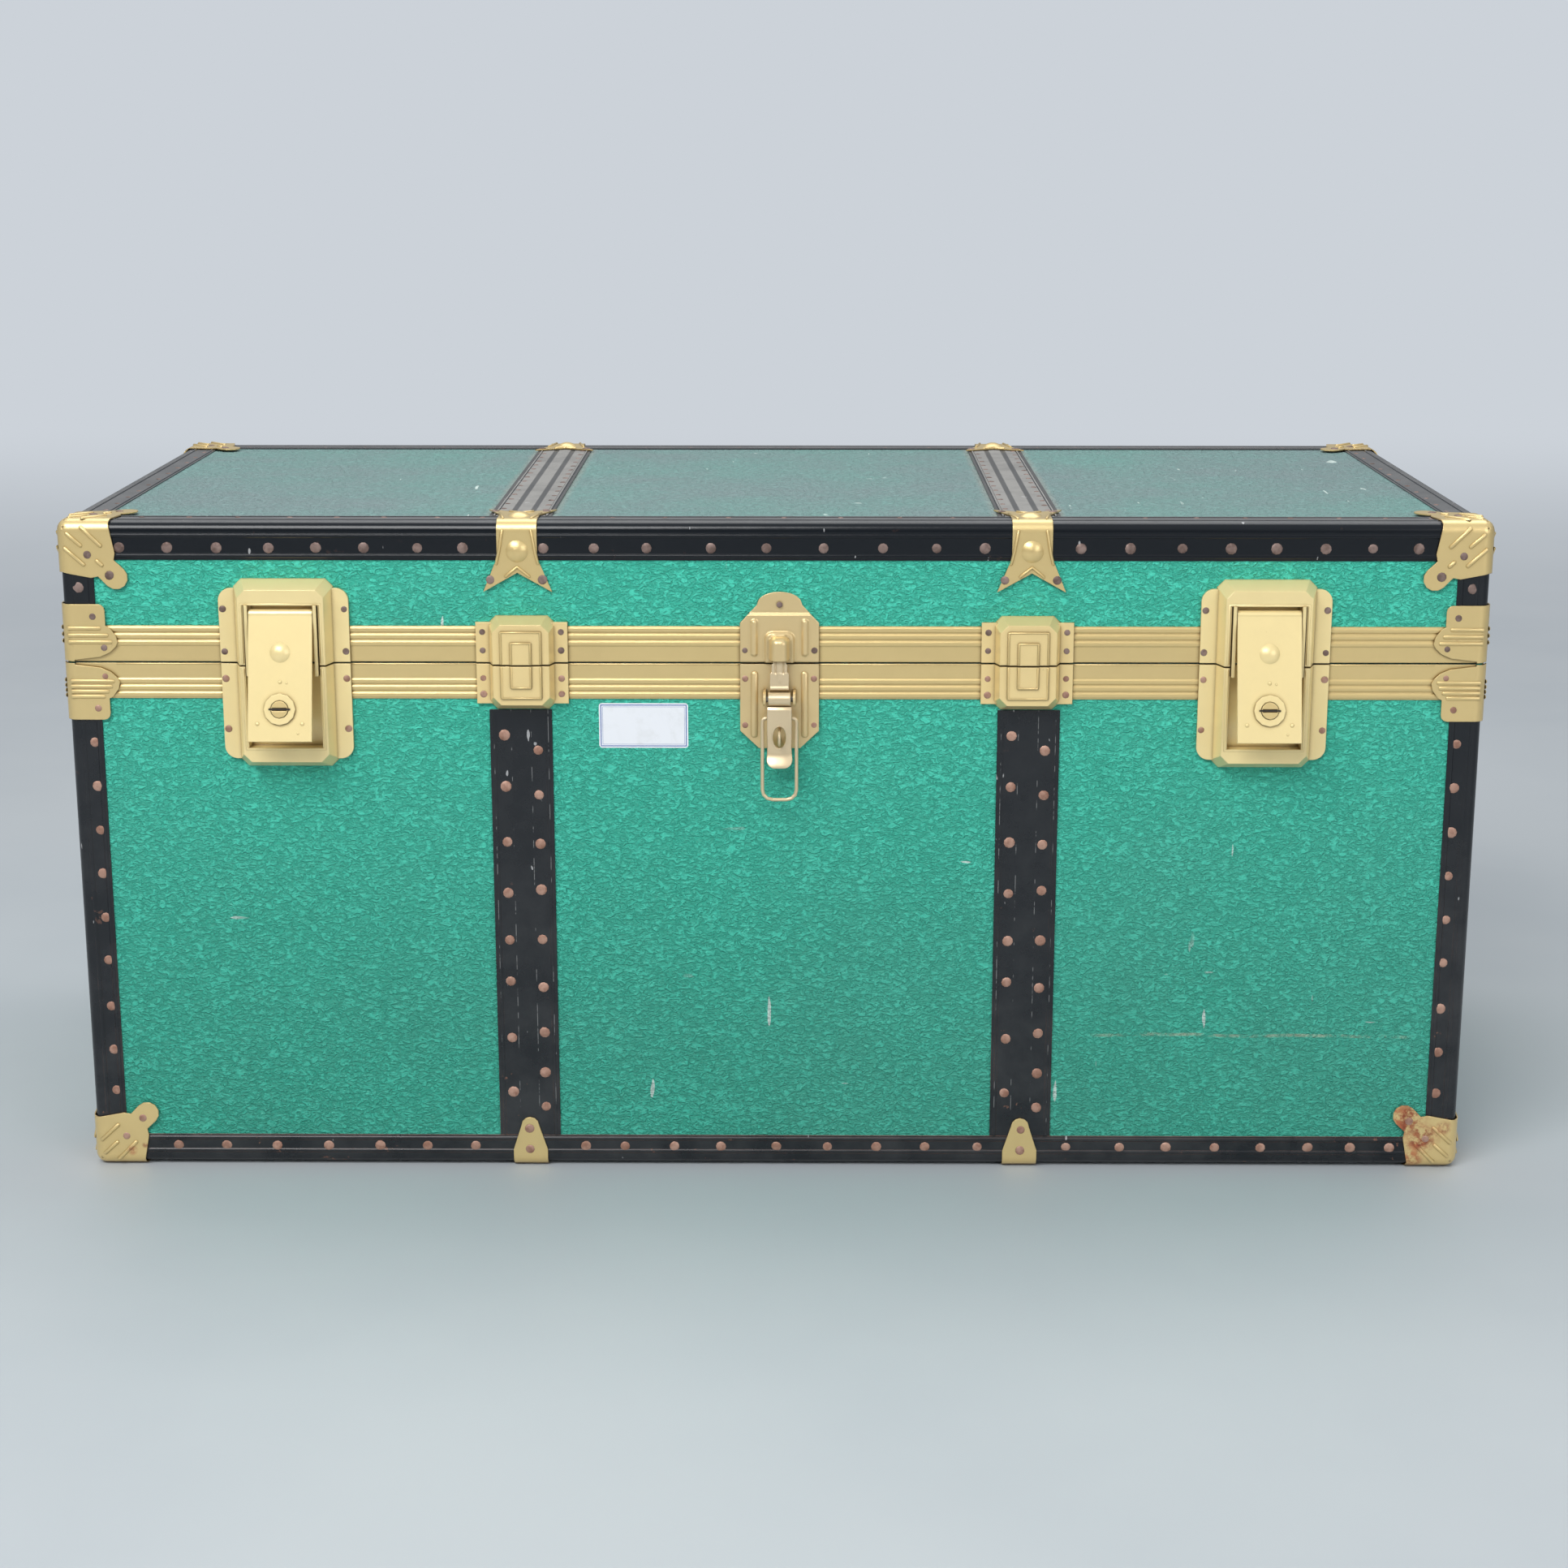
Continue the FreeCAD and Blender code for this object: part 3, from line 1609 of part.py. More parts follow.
tongue_half = size.dowel_tongue_wide / 2
tongue_y = -(plate_out + size.dowel_tongue_inset)


def dowel_socket():
    body = dowel_half("dowel_case", -1)
    fit = size.dowel_fit
    pocket = box(
        "dowel_pocket",
        (-tongue_half - fit, tongue_half + fit),
        (tongue_y - size.dowel_tongue_deep - fit, tongue_y + fit),
        (-size.dowel_tongue_long - fit, size.overrun),
    )
    return cut("dowel_socket", body, pocket)


def dowel_plug():
    body = dowel_half("dowel_lid", 1)
    tongue = box(
        "dowel_tongue",
        (-tongue_half, tongue_half),
        (tongue_y - size.dowel_tongue_deep, tongue_y),
        (-size.dowel_tongue_long, seam_half + size.fit_gap),
    )
    return fuse("dowel_plug", body, tongue)


for word, piece in (("dowel_sockets", dowel_socket()), ("dowel_plugs", dowel_plug())):
    place(piece, -dowel_place, -half_deep, seam_height)
    keep(word, piece, mirror(word + "_right", piece, x=1))


# Back hinges: leaves on the case and the lid, five knuckles and a pin


HINGE_KNUCKLES = 5
hinge_half = size.hinge_wide / 2
hinge_y = rail_seat + size.hinge_out
knuckle_wide = size.hinge_wide / HINGE_KNUCKLES


def hinge_leaf(name, up, own):
    thick = (rail_seat, rail_seat + size.hinge_leaf_thick)
    clear = size.hinge_knuckle + size.knuckle_gap
    leaf = box(
        name + "_leaf",
        (-hinge_half, hinge_half),
        (nothing, thick[1]),
        band(clear, hinge_leaf_high, up),
    )
    seat = box(
        name + "_seat",
        (-hinge_half - size.overrun, hinge_half + size.overrun),
        (-size.overrun, rail_seat),
        band(-size.overrun, rail_high + seam_half + size.face_gap, up),
    )
    parts = [cut(name + "_plate", leaf, seat)]
    for count in own:
        start = knuckle_wide * count - hinge_half + size.knuckle_gap / 2
        long = knuckle_wide - size.knuckle_gap
        parts.append(
            rod(
                "%s_knuckle%d" % (name, count),
                size.hinge_knuckle,
                long,
                start,
                hinge_y,
                nothing,
                "x",
            )
        )
        parts.append(
            box(
                "%s_web%d" % (name, count),
                (start, start + long),
                thick,
                band(nothing, clear + size.knuckle_gap, up),
            )
        )
    solid = fuse(name + "_solid", *parts)
    bore = rod(
        name + "_bore",
        size.hinge_pin + size.fit_gap / 4,
        hinge_half * 4,
        -hinge_half * 2,
        hinge_y,
        nothing,
        "x",
    )
    return cut(name, solid, bore)


hinge_rod = rod(
    "hinge_rod", size.hinge_pin, size.hinge_wide, -hinge_half, hinge_y, nothing, "x"
)
for word, piece in (
    ("hinge_case_leaves", hinge_leaf("hinge_case", -1, (0, 2, 4))),
    ("hinge_lid_leaves", hinge_leaf("hinge_lid", 1, (1, 3))),
    ("hinge_pins", group("hinge_pin_node", hinge_rod)),
):
    place(piece, -hinge_place, half_deep, seam_height)
    keep(word, piece, mirror(word + "_right", piece, x=1))


# End handles: a steel bail with a turned grip, hung in two saddles


handle_half = size.handle_span / 2
handle_x = size.handle_plate_thick + size.handle_out


def handle_plate_pair(side):
    """Saddles for the left end, mirrored for the right one."""
    name = side + "_saddle"
    high = size.handle_plate_high / 2
    wide = size.handle_plate_wide / 2
    plate = box(
        name + "_plate",
        (-size.handle_plate_thick, nothing),
        (-wide, wide),
        (-high, high),
    )
    reach = handle_x + size.handle_rod + size.handle_saddle_wall
    block_high = size.handle_saddle_high / 2
    block = box(
        name + "_block",
        (-handle_x, nothing),
        (-size.handle_saddle_wide / 2, size.handle_saddle_wide / 2),
        (-block_high, block_high),
    )
    nose = rod(
        name + "_nose",
        block_high,
        size.handle_saddle_wide,
        -handle_x,
        -size.handle_saddle_wide / 2,
        nothing,
        "y",
    )
    bore = rod(
        name + "_bore",
        size.handle_rod / 2 + size.handle_rod_gap,
        size.handle_saddle_wide * 2,
        -handle_x,
        -size.handle_saddle_wide,
        nothing,
        "y",
    )
    solid = fuse(name + "_solid", plate, block, nose)
    front = cut(name, solid, bore)
    place(front, y=-handle_half)
    back = mirror(name + "_back", front, y=1)
    return group(name + "_pair", front, back)


def handle_bail_shape():
    radius = number(size.handle_rod) / 2
    end = number(handle_half + size.handle_saddle_wide / 2 + size.face_gap)
    side = number(handle_half - size.handle_saddle_wide / 2 - size.handle_leg_gap)
    drop = number(size.handle_loop_drop)
    bend = number(size.handle_bend)
    points = [(0, -end, 0), (0, -side, 0), (0, -side, -drop)]
    points += [(0, side, -drop), (0, side, 0), (0, end, 0)]
    return bent_wire(points, (bend,) * 4, radius)


def handle_grip(side):
    half = size.handle_grip_long / 2
    body = rod(
        side + "_grip_body",
        size.handle_grip_wide / 2,
        size.handle_grip_long,
        nothing,
        -half,
        -size.handle_loop_drop,
        "y",
    )
    bore = rod(
        side + "_grip_bore",
        size.handle_rod / 2 + size.face_gap / 3,
        size.handle_grip_long * 2,
        nothing,
        -half * 2,
        -size.handle_loop_drop,
        "y",
    )
    return cut(side + "_grip", body, bore)


for side, direction in (("left", 1), ("right", -1)):
    saddles = handle_plate_pair(side)
    bail_solid = feature(side + "_bail", handle_bail_shape())
    grip = handle_grip(side)
    if direction < 0:
        saddles = mirror("right_saddles", saddles, x=1)
    wall = flip(direction, -half_wide)
    hang = flip(direction, -half_wide - handle_x)
    place(saddles, wall, nothing, size.handle_height)
    place(bail_solid, hang, nothing, size.handle_height)
    place(grip, hang, nothing, size.handle_height)
    keep(side + "_handle_plates", saddles)
    keep(side + "_handle_bail", bail_solid)
    keep(side + "_handle_grip", grip)


# Check every object, then write each sub-part

doc.recompute()
for thing in doc.Objects:
    if "Invalid" in thing.State or "Error" in thing.State:
        raise RuntimeError("%s failed to build: %s" % (thing.Name, thing.State))
for name, node in pieces.items():
    shape = node.Shape
    if shape.isNull() or not shape.isValid():
        raise RuntimeError("%s has no valid shape" % name)
for name, node in pieces.items():
    node.Shape.exportStep(os.path.join("parts", name + ".step"))
    print(name, len(node.Shape.Solids), "solids", round(node.Shape.Volume / 1000, 2), "cm3")
print(len(pieces), "nodes")
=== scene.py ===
import json
import math

import bmesh
import bpy
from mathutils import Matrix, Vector

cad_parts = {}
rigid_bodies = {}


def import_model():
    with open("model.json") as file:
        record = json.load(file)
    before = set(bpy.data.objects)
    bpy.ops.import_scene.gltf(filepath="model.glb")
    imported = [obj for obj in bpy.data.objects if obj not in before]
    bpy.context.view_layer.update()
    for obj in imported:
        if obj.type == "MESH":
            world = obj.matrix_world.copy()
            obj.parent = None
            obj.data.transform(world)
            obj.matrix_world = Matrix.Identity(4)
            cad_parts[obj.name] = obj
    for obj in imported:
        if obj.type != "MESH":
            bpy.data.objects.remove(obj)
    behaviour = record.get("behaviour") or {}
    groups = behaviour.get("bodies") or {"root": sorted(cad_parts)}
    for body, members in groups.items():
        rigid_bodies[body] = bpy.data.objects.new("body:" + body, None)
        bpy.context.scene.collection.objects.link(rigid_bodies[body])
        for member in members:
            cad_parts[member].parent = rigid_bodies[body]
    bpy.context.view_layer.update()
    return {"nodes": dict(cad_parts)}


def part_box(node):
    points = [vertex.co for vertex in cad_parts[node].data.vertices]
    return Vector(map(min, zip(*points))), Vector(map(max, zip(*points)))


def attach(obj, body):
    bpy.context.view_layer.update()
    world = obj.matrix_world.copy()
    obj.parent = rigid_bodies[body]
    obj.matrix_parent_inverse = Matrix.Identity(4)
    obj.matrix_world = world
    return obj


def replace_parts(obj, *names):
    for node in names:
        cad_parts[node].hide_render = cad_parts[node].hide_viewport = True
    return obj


for leftover in list(bpy.data.objects):
    bpy.data.objects.remove(leftover)

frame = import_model()
nodes = frame["nodes"]
print("frame loaded:", len(nodes), "nodes")


# Where things are, read from the frame. Lengths are metres and the front faces -Y.
def corners(name):
    low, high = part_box(name)
    return Vector(low), Vector(high)


frontFace = corners("case_front_panel")[0].y  # the plane that the front fibre lies in
backFace = corners("case_back_panel")[1].y
leftFace = corners("case_left_panel")[0].x
rightFace = corners("case_right_panel")[1].x
topFace = corners("lid_top_panel")[1].z
chestLow = corners("case_corners")[0]
chestHigh = corners("lid_corners")[1]
middle = (frontFace + backFace) / 2  # the panels' middle, a little behind the origin
strapX, lockX, dowelX, haspX = 0.179, 0.343, 0.177, 0.0035  # how far from the middle of the front they sit

# How far binding, strap, cap and plate faces stand out of the panels.
bindingOut, strapOut, capOut, plateOut = 0.0008, 0.0010, 0.0026, 0.0028


# A node tree, with short ways to add the nodes that it uses.
class Tree:

    def __init__(self, tree):
        self.tree = tree
        self.tree.nodes.clear()

    # Adds a node: its settings, its inputs by number and its inputs by name. A short kind is a shader node's.
    def add(self, kind, settings=None, numbered=(), **named):
        made = self.tree.nodes.new(kind if "Node" in kind else "ShaderNode" + kind)
        for key, value in (settings or {}).items():
            setattr(made, key, value)
        for number, value in numbered.items() if isinstance(numbered, dict) else enumerate(numbered):
            self.put(made.inputs[number], value)
        for key, value in named.items():
            self.put(made.inputs[key.replace("_", " ")], value)
        return made

    def put(self, socket, value):
        if isinstance(value, bpy.types.NodeSocket):
            self.tree.links.new(value, socket)
        else:
            socket.default_value = value

    def math(self, operation, first, second=0.0, clamp=False):
        settings = {"operation": operation, "use_clamp": clamp}
        return self.add("Math", settings, (first, second)).outputs[0]

    def joined(self, operation, values):
        total = values[0]
        for value in values[1:]:
            total = self.math(operation, total, value)
        return total

    def plus(self, *values):
        return self.joined("ADD", values)

    def times(self, *values):
        return self.joined("MULTIPLY", values)

    def most(self, *values):
        return self.joined("MAXIMUM", values)

    def less(self, first, second):
        return self.math("SUBTRACT", first, second)

    def size(self, value):
        return self.math("ABSOLUTE", value)

    # Runs smoothly from start to end while the value runs from low to high.
    def spread(self, value, low, high, start=0.0, end=1.0):
        return self.add("MapRange", {"interpolation_type": "SMOOTHSTEP"}, Value=value, From_Min=low,
                        From_Max=high, To_Min=start, To_Max=end).outputs["Result"]

    def blend(self, share, first, second):
        return self.add("MixShader", None, (share, first, second)).outputs[0]


# One material, whose patterns lie on the object's own coordinates.
class Recipe(Tree):

    def __init__(self, name):
        self.material = bpy.data.materials.new(name)
        self.material.use_nodes = True
        super().__init__(self.material.node_tree)
        self.place = self.add("TexCoord").outputs["Object"]

    def moved(self, stretch=(1, 1, 1), shift=(0, 0, 0)):
        return self.add("Mapping", Vector=self.place, Scale=stretch, Location=shift).outputs["Vector"]

    def noise(self, scale, detail=4.0, roughness=0.55, stretch=(1, 1, 1), shift=(0, 0, 0), warp=0.0):
        return self.add("TexNoise", Vector=self.moved(stretch, shift), Scale=scale, Detail=detail,
                        Roughness=roughness, Distortion=warp).outputs["Fac"]

    # A noise spread between two levels.
    def cut(self, noise, low, high, start=0.0, end=1.0, **more):
        return self.spread(self.noise(*noise, **more), low, high, start, end)

    # Mixes two colours, either of which may be a screen colour.
    def mix(self, share, first, second, blend="MIX"):
        first, second = [colour(*tone) if isinstance(tone, tuple) else tone for tone in (first, second)]
        settings = {"data_type": "RGBA", "blend_type": blend}
        return self.add("Mix", settings, {0: share, 6: first, 7: second}).outputs[2]

    # Lays one colour over another by the product of some shares.
    def over(self, base, tone, *shares):
        return self.mix(self.times(*shares), base, tone)

    # One number or another, by a share.
    def choose(self, share, first, second):
        return self.add("Mix", {"data_type": "FLOAT"}, {0: share, 2: first, 3: second}).outputs[0]

    # A plain number as a grey, to multiply a colour by.
    def grey(self, value):
        return self.add("CombineColor", None, (value, value, value)).outputs[0]

    def axis(self, name):
        return self.add("SeparateXYZ", Vector=self.place).outputs[name]

    def facing(self, name):
        normal = self.add("TexCoord").outputs["Normal"]
        return self.add("SeparateXYZ", Vector=normal).outputs[name]

    def hollows(self, distance):
        made = self.add("AmbientOcclusion", {"samples": 6}, Distance=distance)
        return self.less(1.0, made.outputs["AO"])

    # Edges read as rolled over: the normal is averaged within this reach of an edge.
    def rolled(self, radius):
        return self.add("Bevel", {"samples": 4}, Radius=radius).outputs["Normal"]

    # One where a rolled edge turns away from the flat sheet beside it, nothing on the flat.
    def edges(self, rolled, first=0.03, last=0.2):
        flat = self.add("NewGeometry").outputs["True Normal"]
        made = self.add("VectorMath", {"operation": "DOT_PRODUCT"}, (rolled, flat))
        return self.spread(self.less(1.0, self.size(made.outputs["Value"])), first, last)

    # A soft band where a value lies within a reach of a level.
    def band(self, value, level, reach, soft):
        return self.spread(self.size(self.less(value, level)), reach, reach + soft, 1.0, 0.0)

    def bump(self, height, strength, distance, base=None):
        made = self.add("Bump", Height=height, Strength=strength, Distance=distance)
        if base is not None:
            self.put(made.inputs["Normal"], base)
        return made.outputs["Normal"]

    def shader(self, colour, roughness, metallic=0.0, **more):
        return self.add("BsdfPrincipled", Base_Color=colour, Roughness=roughness, Metallic=metallic,
                        **more).outputs["BSDF"]

    def close(self, surface):
        self.add("OutputMaterial", Surface=surface)
        return self.material

    def finish(self, colour, roughness, metallic=0.0, **more):
        return self.close(self.shader(colour, roughness, metallic, **more))

    # A plain surface: one pattern mixes two tones and sets how rough it is, and other tones lie over them.
    def worn(self, pattern, low, high, tones, rough, relief, metallic=0.0, over=()):
        base = self.mix(self.spread(pattern, low, high), *tones)
        for tone, share in over:
            base = self.over(base, tone, share)
        return self.finish(base, self.spread(pattern, 0.3, 0.7, *rough), metallic, Normal=self.bump(*relief))


# A screen colour of 0 to 255 as the linear colour that the shader takes.
def colour(red, green, blue):
    linear = [((c / 255 + 0.055) / 1.055) ** 2.4 if c > 10.3 else c / 255 / 12.92 for c in (red, green, blue)]
    return (*linear, 1.0)


# Across a strap, from its middle: grey dust, with dark bands of painted shade beside the beads.
def strapBands(r):
    off = r.size(r.less(r.size(r.axis("X")), strapX))
    dark = r.most(r.band(off, 0.0067, 0.0016, 0.0008), r.spread(off, 0.0186, 0.0194))
    return r.less(1.0, r.times(dark, 0.72)), off


# Thin pale marks: stretched noise cut to fine lines, kept to a few places by a slower noise.
def scratches(r):
    marks = []
    for number, stretch in enumerate(((130, 20, 17), (24, 20, 120))):
        line = r.spread(r.noise(1.0, 2.0, 0.5, stretch, (number * 3.1, 0, 1.7)), 0.728, 0.744)
        where = r.cut((7.0, 2.0, 0.5), 0.50, 0.60, shift=(number * 5 + 1, 2, 4))
        marks.append(r.times(line, where, 0.85))
    return r.most(*marks)


# The green vulcanised fibre: small raised pebbles, dulled by dust on the lid's top, with a few pale scratches.
greenLook = {"litPebble": (65, 192, 166), "deep": (37, 152, 128), "stain": (34, 110, 92), "bleach": (96, 168, 150),
             "lowerTone": (66, 122, 106), "dust": (125, 127, 133), "halo": (158, 156, 146), "scratch": (206, 222, 214),
             "streak": (186, 186, 160), "pebble": 290.0, "roughness": 0.38}


def greenFibre():
    look = greenLook
    r = Recipe("green_fibre")
    up = r.spread(r.facing("Z"), 0.5, 0.9)
    height = r.axis("Z")
    crepe = r.noise(look["pebble"], 3.0, 0.55, (0.8, 0.8, 1.25), warp=1.1)
    fine = r.noise(look["pebble"] * 2.7, 2.0, 0.5, warp=0.6, shift=(2, 5, 1))
    relief = r.plus(r.spread(crepe, 0.34, 0.66), r.times(fine, 0.45))
    cloud = r.noise(3.2, 5.0, 0.6)
    stain = r.cut((7.0, 6.0, 0.62), 0.55, 0.8, shift=(3, 1, 7))
    # Painted light and shade on the pebbles: lighter on their tops, darker in their hollows.
    base = r.mix(r.spread(relief, 0.25, 1.15, 0.30, 1.0), look["deep"], look["litPebble"])
    base = r.over(base, look["stain"], stain, 0.20)
    base = r.over(base, look["bleach"], r.spread(cloud, 0.4, 0.7), 0.14)
    # A darker, duller green laid in patches, most towards the bottom.
    base = r.over(base, look["lowerTone"], r.spread(height, 0.02, 0.36, 0.22, 0.0),
                  r.cut((11.0, 6.0, 0.7), 0.3, 0.7, 0.35, 1.0))
    dusty = r.times(r.cut((5.0, 8.0, 0.65), 0.25, 0.75, 0.62, 0.86), up)
    base = r.over(base, look["dust"], dusty)
    base = r.over(base, look["halo"], r.band(strapBands(r)[1], 0.0215, 0.0008, 0.0060),
                  r.cut((30.0, 6.0, 0.7), 0.3, 0.7, 0.2, 0.6), up)
    base = r.over(base, look["scratch"], scratches(r))
    wave = r.plus(height, r.times(r.noise(14.0, 2.0, 0.5), 0.006))
    base = r.over(base, look["streak"], r.band(wave, 0.1045, 0.0005, 0.0012), r.band(r.axis("X"), 0.345, 0.10, 0.02),
                  r.cut((60.0, 4.0, 0.7), 0.42, 0.62), 0.6)
    rough = r.plus(r.spread(cloud, 0.3, 0.8, look["roughness"], look["roughness"] + 0.10), r.times(dusty, 0.10))
    # Painted light: the colour is multiplied lighter with height, darker near the floor and lightest on the lid.
    base = r.mix(1.0, base, r.grey(r.spread(height, 0.05, 0.45, 0.94, 1.20)), "MULTIPLY")
    return r.finish(base, rough, Normal=r.bump(relief, 1.0, 0.0012), Specular_IOR_Level=0.45)


# Black stove enamel on folded steel: glossy where whole, dusty on top, rubbed to coppery steel at edges low down.
enamelLook = {"black": (11, 16, 22), "dust": (126, 126, 126), "rubbed": (150, 104, 82), "crease": (186, 186, 184),
              "nick": (196, 196, 196)}


def blackEnamel(name="black_enamel", dust=0.72, wear=0.8, bands=False, lines=0.0, sheen=0.5, rubbing=0.40,
                gloss=0.26, film=1.0, dustTone=enamelLook["dust"]):
    r = Recipe(name)
    height = r.axis("Z")
    rolled = r.rolled(0.0007)
    up = r.spread(r.facing("Z"), 0.86, 0.99)
    grime = r.noise(26.0, 8.0, 0.68)
    broad = r.noise(6.0, 4.0, 0.6, shift=(1, 4, 2))
    lowDown = r.spread(height, 0.01, 0.30, 1.0, 0.10)
    worn = r.times(r.edges(rolled), r.spread(grime, rubbing, rubbing + 0.2), lowDown, wear)
    chips = r.times(r.cut((60.0, 5.0, 0.7), 0.66, 0.7, shift=(4, 4, 1)), lowDown, 0.6)
    filmed = r.times(r.spread(r.plus(grime, r.times(broad, 0.6)), 0.6, 1.1),
                     r.spread(height, 0.0, 0.44, 0.13, 0.03), film)
    across, off = strapBands(r)
    # On the top straps the dust stops in the dark bands: painted shade beside the beads.
    if bands:
        up = r.times(up, across)
    dusty = r.math("ADD", r.times(up, r.spread(grime, 0.2, 0.8, 0.6, 1.0), dust), filmed, clamp=True)
    base = r.over(enamelLook["black"], dustTone, dusty)
    base = r.over(base, enamelLook["rubbed"], r.most(worn, chips))
    if lines:  # broken pale lines where the strap has been scuffed along its creases
        crease = r.most(*[r.band(off, place, 0.00012, 0.0002) for place in (0.0070, 0.0192)])
        broken = r.cut((1.0, 3.0, 0.6, (30, 30, 90)), 0.52, 0.60)
        base = r.over(base, enamelLook["crease"], crease, broken, lines)
    nicks = r.cut((1.0, 2.0, 0.5, (150, 150, 60), (6, 1, 2)), 0.75, 0.77)
    base = r.over(base, enamelLook["nick"], nicks, 0.6)
    rough = r.math("ADD", r.times(dusty, 0.7), gloss, clamp=True)
    normal = r.bump(r.plus(r.times(broad, 1.6), r.times(grime, 0.25)), 0.35, 0.0012, rolled)
    return r.finish(base, rough, Normal=normal, Specular_IOR_Level=sheen)


# Pale gold lacquer over pressed steel, painted shade in the hollows, a few rust specks. Spots of rust are given by
# where their middle is, how far they reach and how strong they are.
brassLook = {"gold": (228, 201, 139), "shade": (140, 106, 48), "rust": (176, 104, 66), "deepRust": (134, 66, 42),
             "metallic": 0.54, "roughness": 0.33, "coat": 0.4, "coatRoughness": 0.14}
footRust = (((0.459, -0.2111, 0.038), 0.021, 1.0), ((0.472, -0.2111, 0.024), 0.016, 1.0),
            ((0.488, -0.2111, 0.032), 0.007, 0.9), ((0.466, -0.2111, 0.008), 0.010, 0.9),
            ((-0.472, -0.2111, 0.012), 0.005, 0.8), ((-0.462, -0.2111, 0.016), 0.003, 0.7))


def goldLacquer(name="brass", specks=0.25, rustSpots=(), tone=brassLook["gold"], rim=0.0,
                metallic=brassLook["metallic"]):
    look = brassLook
    r = Recipe(name)
    cloud = r.noise(22.0, 6.0, 0.6)
    speck = r.noise(210.0, 4.0, 0.6)
    rolled = r.rolled(0.0009)
    base = r.mix(r.spread(cloud, 0.3, 0.8, 0.0, 0.3), tone, tuple(c * 0.88 for c in tone))
    # Painted shade: a brown laid into hollows and creases by ambient occlusion.
    base = r.over(base, look["shade"], r.spread(r.hollows(0.0032), 0.05, 0.55), 0.85)
    spots = r.times(r.spread(speck, 0.70, 0.74), r.spread(cloud, 0.45, 0.65), specks)
    for centre, reach, strength in rustSpots:
        away = r.add("VectorMath", {"operation": "DISTANCE"}, (r.place, centre)).outputs["Value"]
        ragged = r.plus(away, r.times(r.noise(95.0, 6.0, 0.7), reach * 0.9))
        near = r.spread(ragged, reach * 0.75, reach * 1.45, 1.0, 0.0)
        spots = r.most(spots, r.times(near, r.cut((150.0, 6.0, 0.7), 0.36, 0.56), strength))
    spots = r.most(spots, r.times(r.edges(rolled, 0.1, 0.4), r.cut((40.0, 5.0, 0.65), 0.45, 0.62), rim))
    rust = r.mix(r.cut((130.0, 5.0, 0.65), 0.35, 0.65), look["rust"], look["deepRust"])
    rough = r.math("ADD", r.spread(cloud, 0.3, 0.8, look["roughness"], look["roughness"] + 0.1),
                   r.times(spots, 0.45), clamp=True)
    normal = r.bump(r.plus(r.times(cloud, 1.0), r.times(speck, 0.12)), 0.25, 0.0008, rolled)
    metal, coat = [r.less(share, r.times(spots, share)) for share in (metallic, look["coat"])]
    return r.finish(r.mix(spots, base, rust), rough, metal, Normal=normal, Coat_Weight=coat,
                    Coat_Roughness=look["coatRoughness"], Coat_Normal=normal)


# Steel nails washed with copper, dulled and dusty: one darker tone for the lid and the hardware.
def nailMetal(name, tone, dark):
    r = Recipe(name)
    patch = r.noise(160.0, 4.0, 0.6)
    each = r.cut((24.0, 1.0, 0.5), 0.35, 0.7, 0.0, 0.45)
    return r.worn(patch, 0.35, 0.7, (tone, dark), (0.5, 0.7), (patch, 0.4, 0.0006), 0.4, ((dark, each),))


# Bare softwood of the carcass, seen at the lip and inside. Its grain runs along each board.
def bareWood():
    r = Recipe("bare_wood")
    endOn = r.spread(r.size(r.facing("X")), 0.4, 0.6)
    grain = r.choose(endOn, *[r.noise(14.0, 6.0, 0.62, run, warp=1.2) for run in ((0.35, 6, 6), (6, 0.35, 6))])
    pores = r.choose(endOn, *[r.noise(60.0, 4.0, 0.6, run) for run in ((0.12, 3, 3), (3, 0.12, 3))])
    dark = r.times(r.spread(pores, 0.55, 0.7), 0.5)
    return r.worn(grain, 0.3, 0.7, ((172, 128, 82), (122, 80, 46)), (0.6, 0.75), (r.plus(grain, pores), 0.3, 0.0006),
                  over=(((84, 54, 32), dark),))


# Plain cream lining paper, a little foxed and cockled.
def liningPaper():
    r = Recipe("lining_paper")
    fox, fibre, cockle = r.noise(34.0, 7.0, 0.7), r.noise(420.0, 3.0, 0.6), r.noise(9.0, 3.0, 0.5)
    relief = r.plus(r.times(cockle, 2.0), r.times(fibre, 0.2))
    thread = r.times(r.spread(fibre, 0.4, 0.7), 0.12)
    return r.worn(fox, 0.56, 0.74, ((214, 202, 174), (170, 140, 100)), (0.72, 0.86), (relief, 0.4, 0.0014),
                  over=(((150, 132, 104), thread),))


# Dark leather of the end grips, creased and rubbed paler on the round.
def gripLeather():
    r = Recipe("grip_leather")
    grain = r.add("TexVoronoi", {"feature": "SMOOTH_F1"}, Vector=r.moved(), Scale=520.0, Randomness=1.0,
                  Smoothness=0.4).outputs["Distance"]
    crease = r.noise(70.0, 5.0, 0.6, (1, 0.5, 2.2))
    relief = r.plus(r.times(grain, 0.8), r.times(crease, 1.0))
    return r.worn(crease, 0.4, 0.68, ((58, 42, 32), (96, 68, 48)), (0.42, 0.6), (relief, 0.5, 0.0006))


# Metal or dirt whose tones, roughness and relief all follow one fine noise.
def mottled(name, scale, detail, low, tones, rough, metallic, relief):
    r = Recipe(name)
    cloud = r.noise(scale, detail, 0.6)
    return r.worn(cloud, low, 0.7, tones, rough, (cloud, 0.2, relief), metallic)


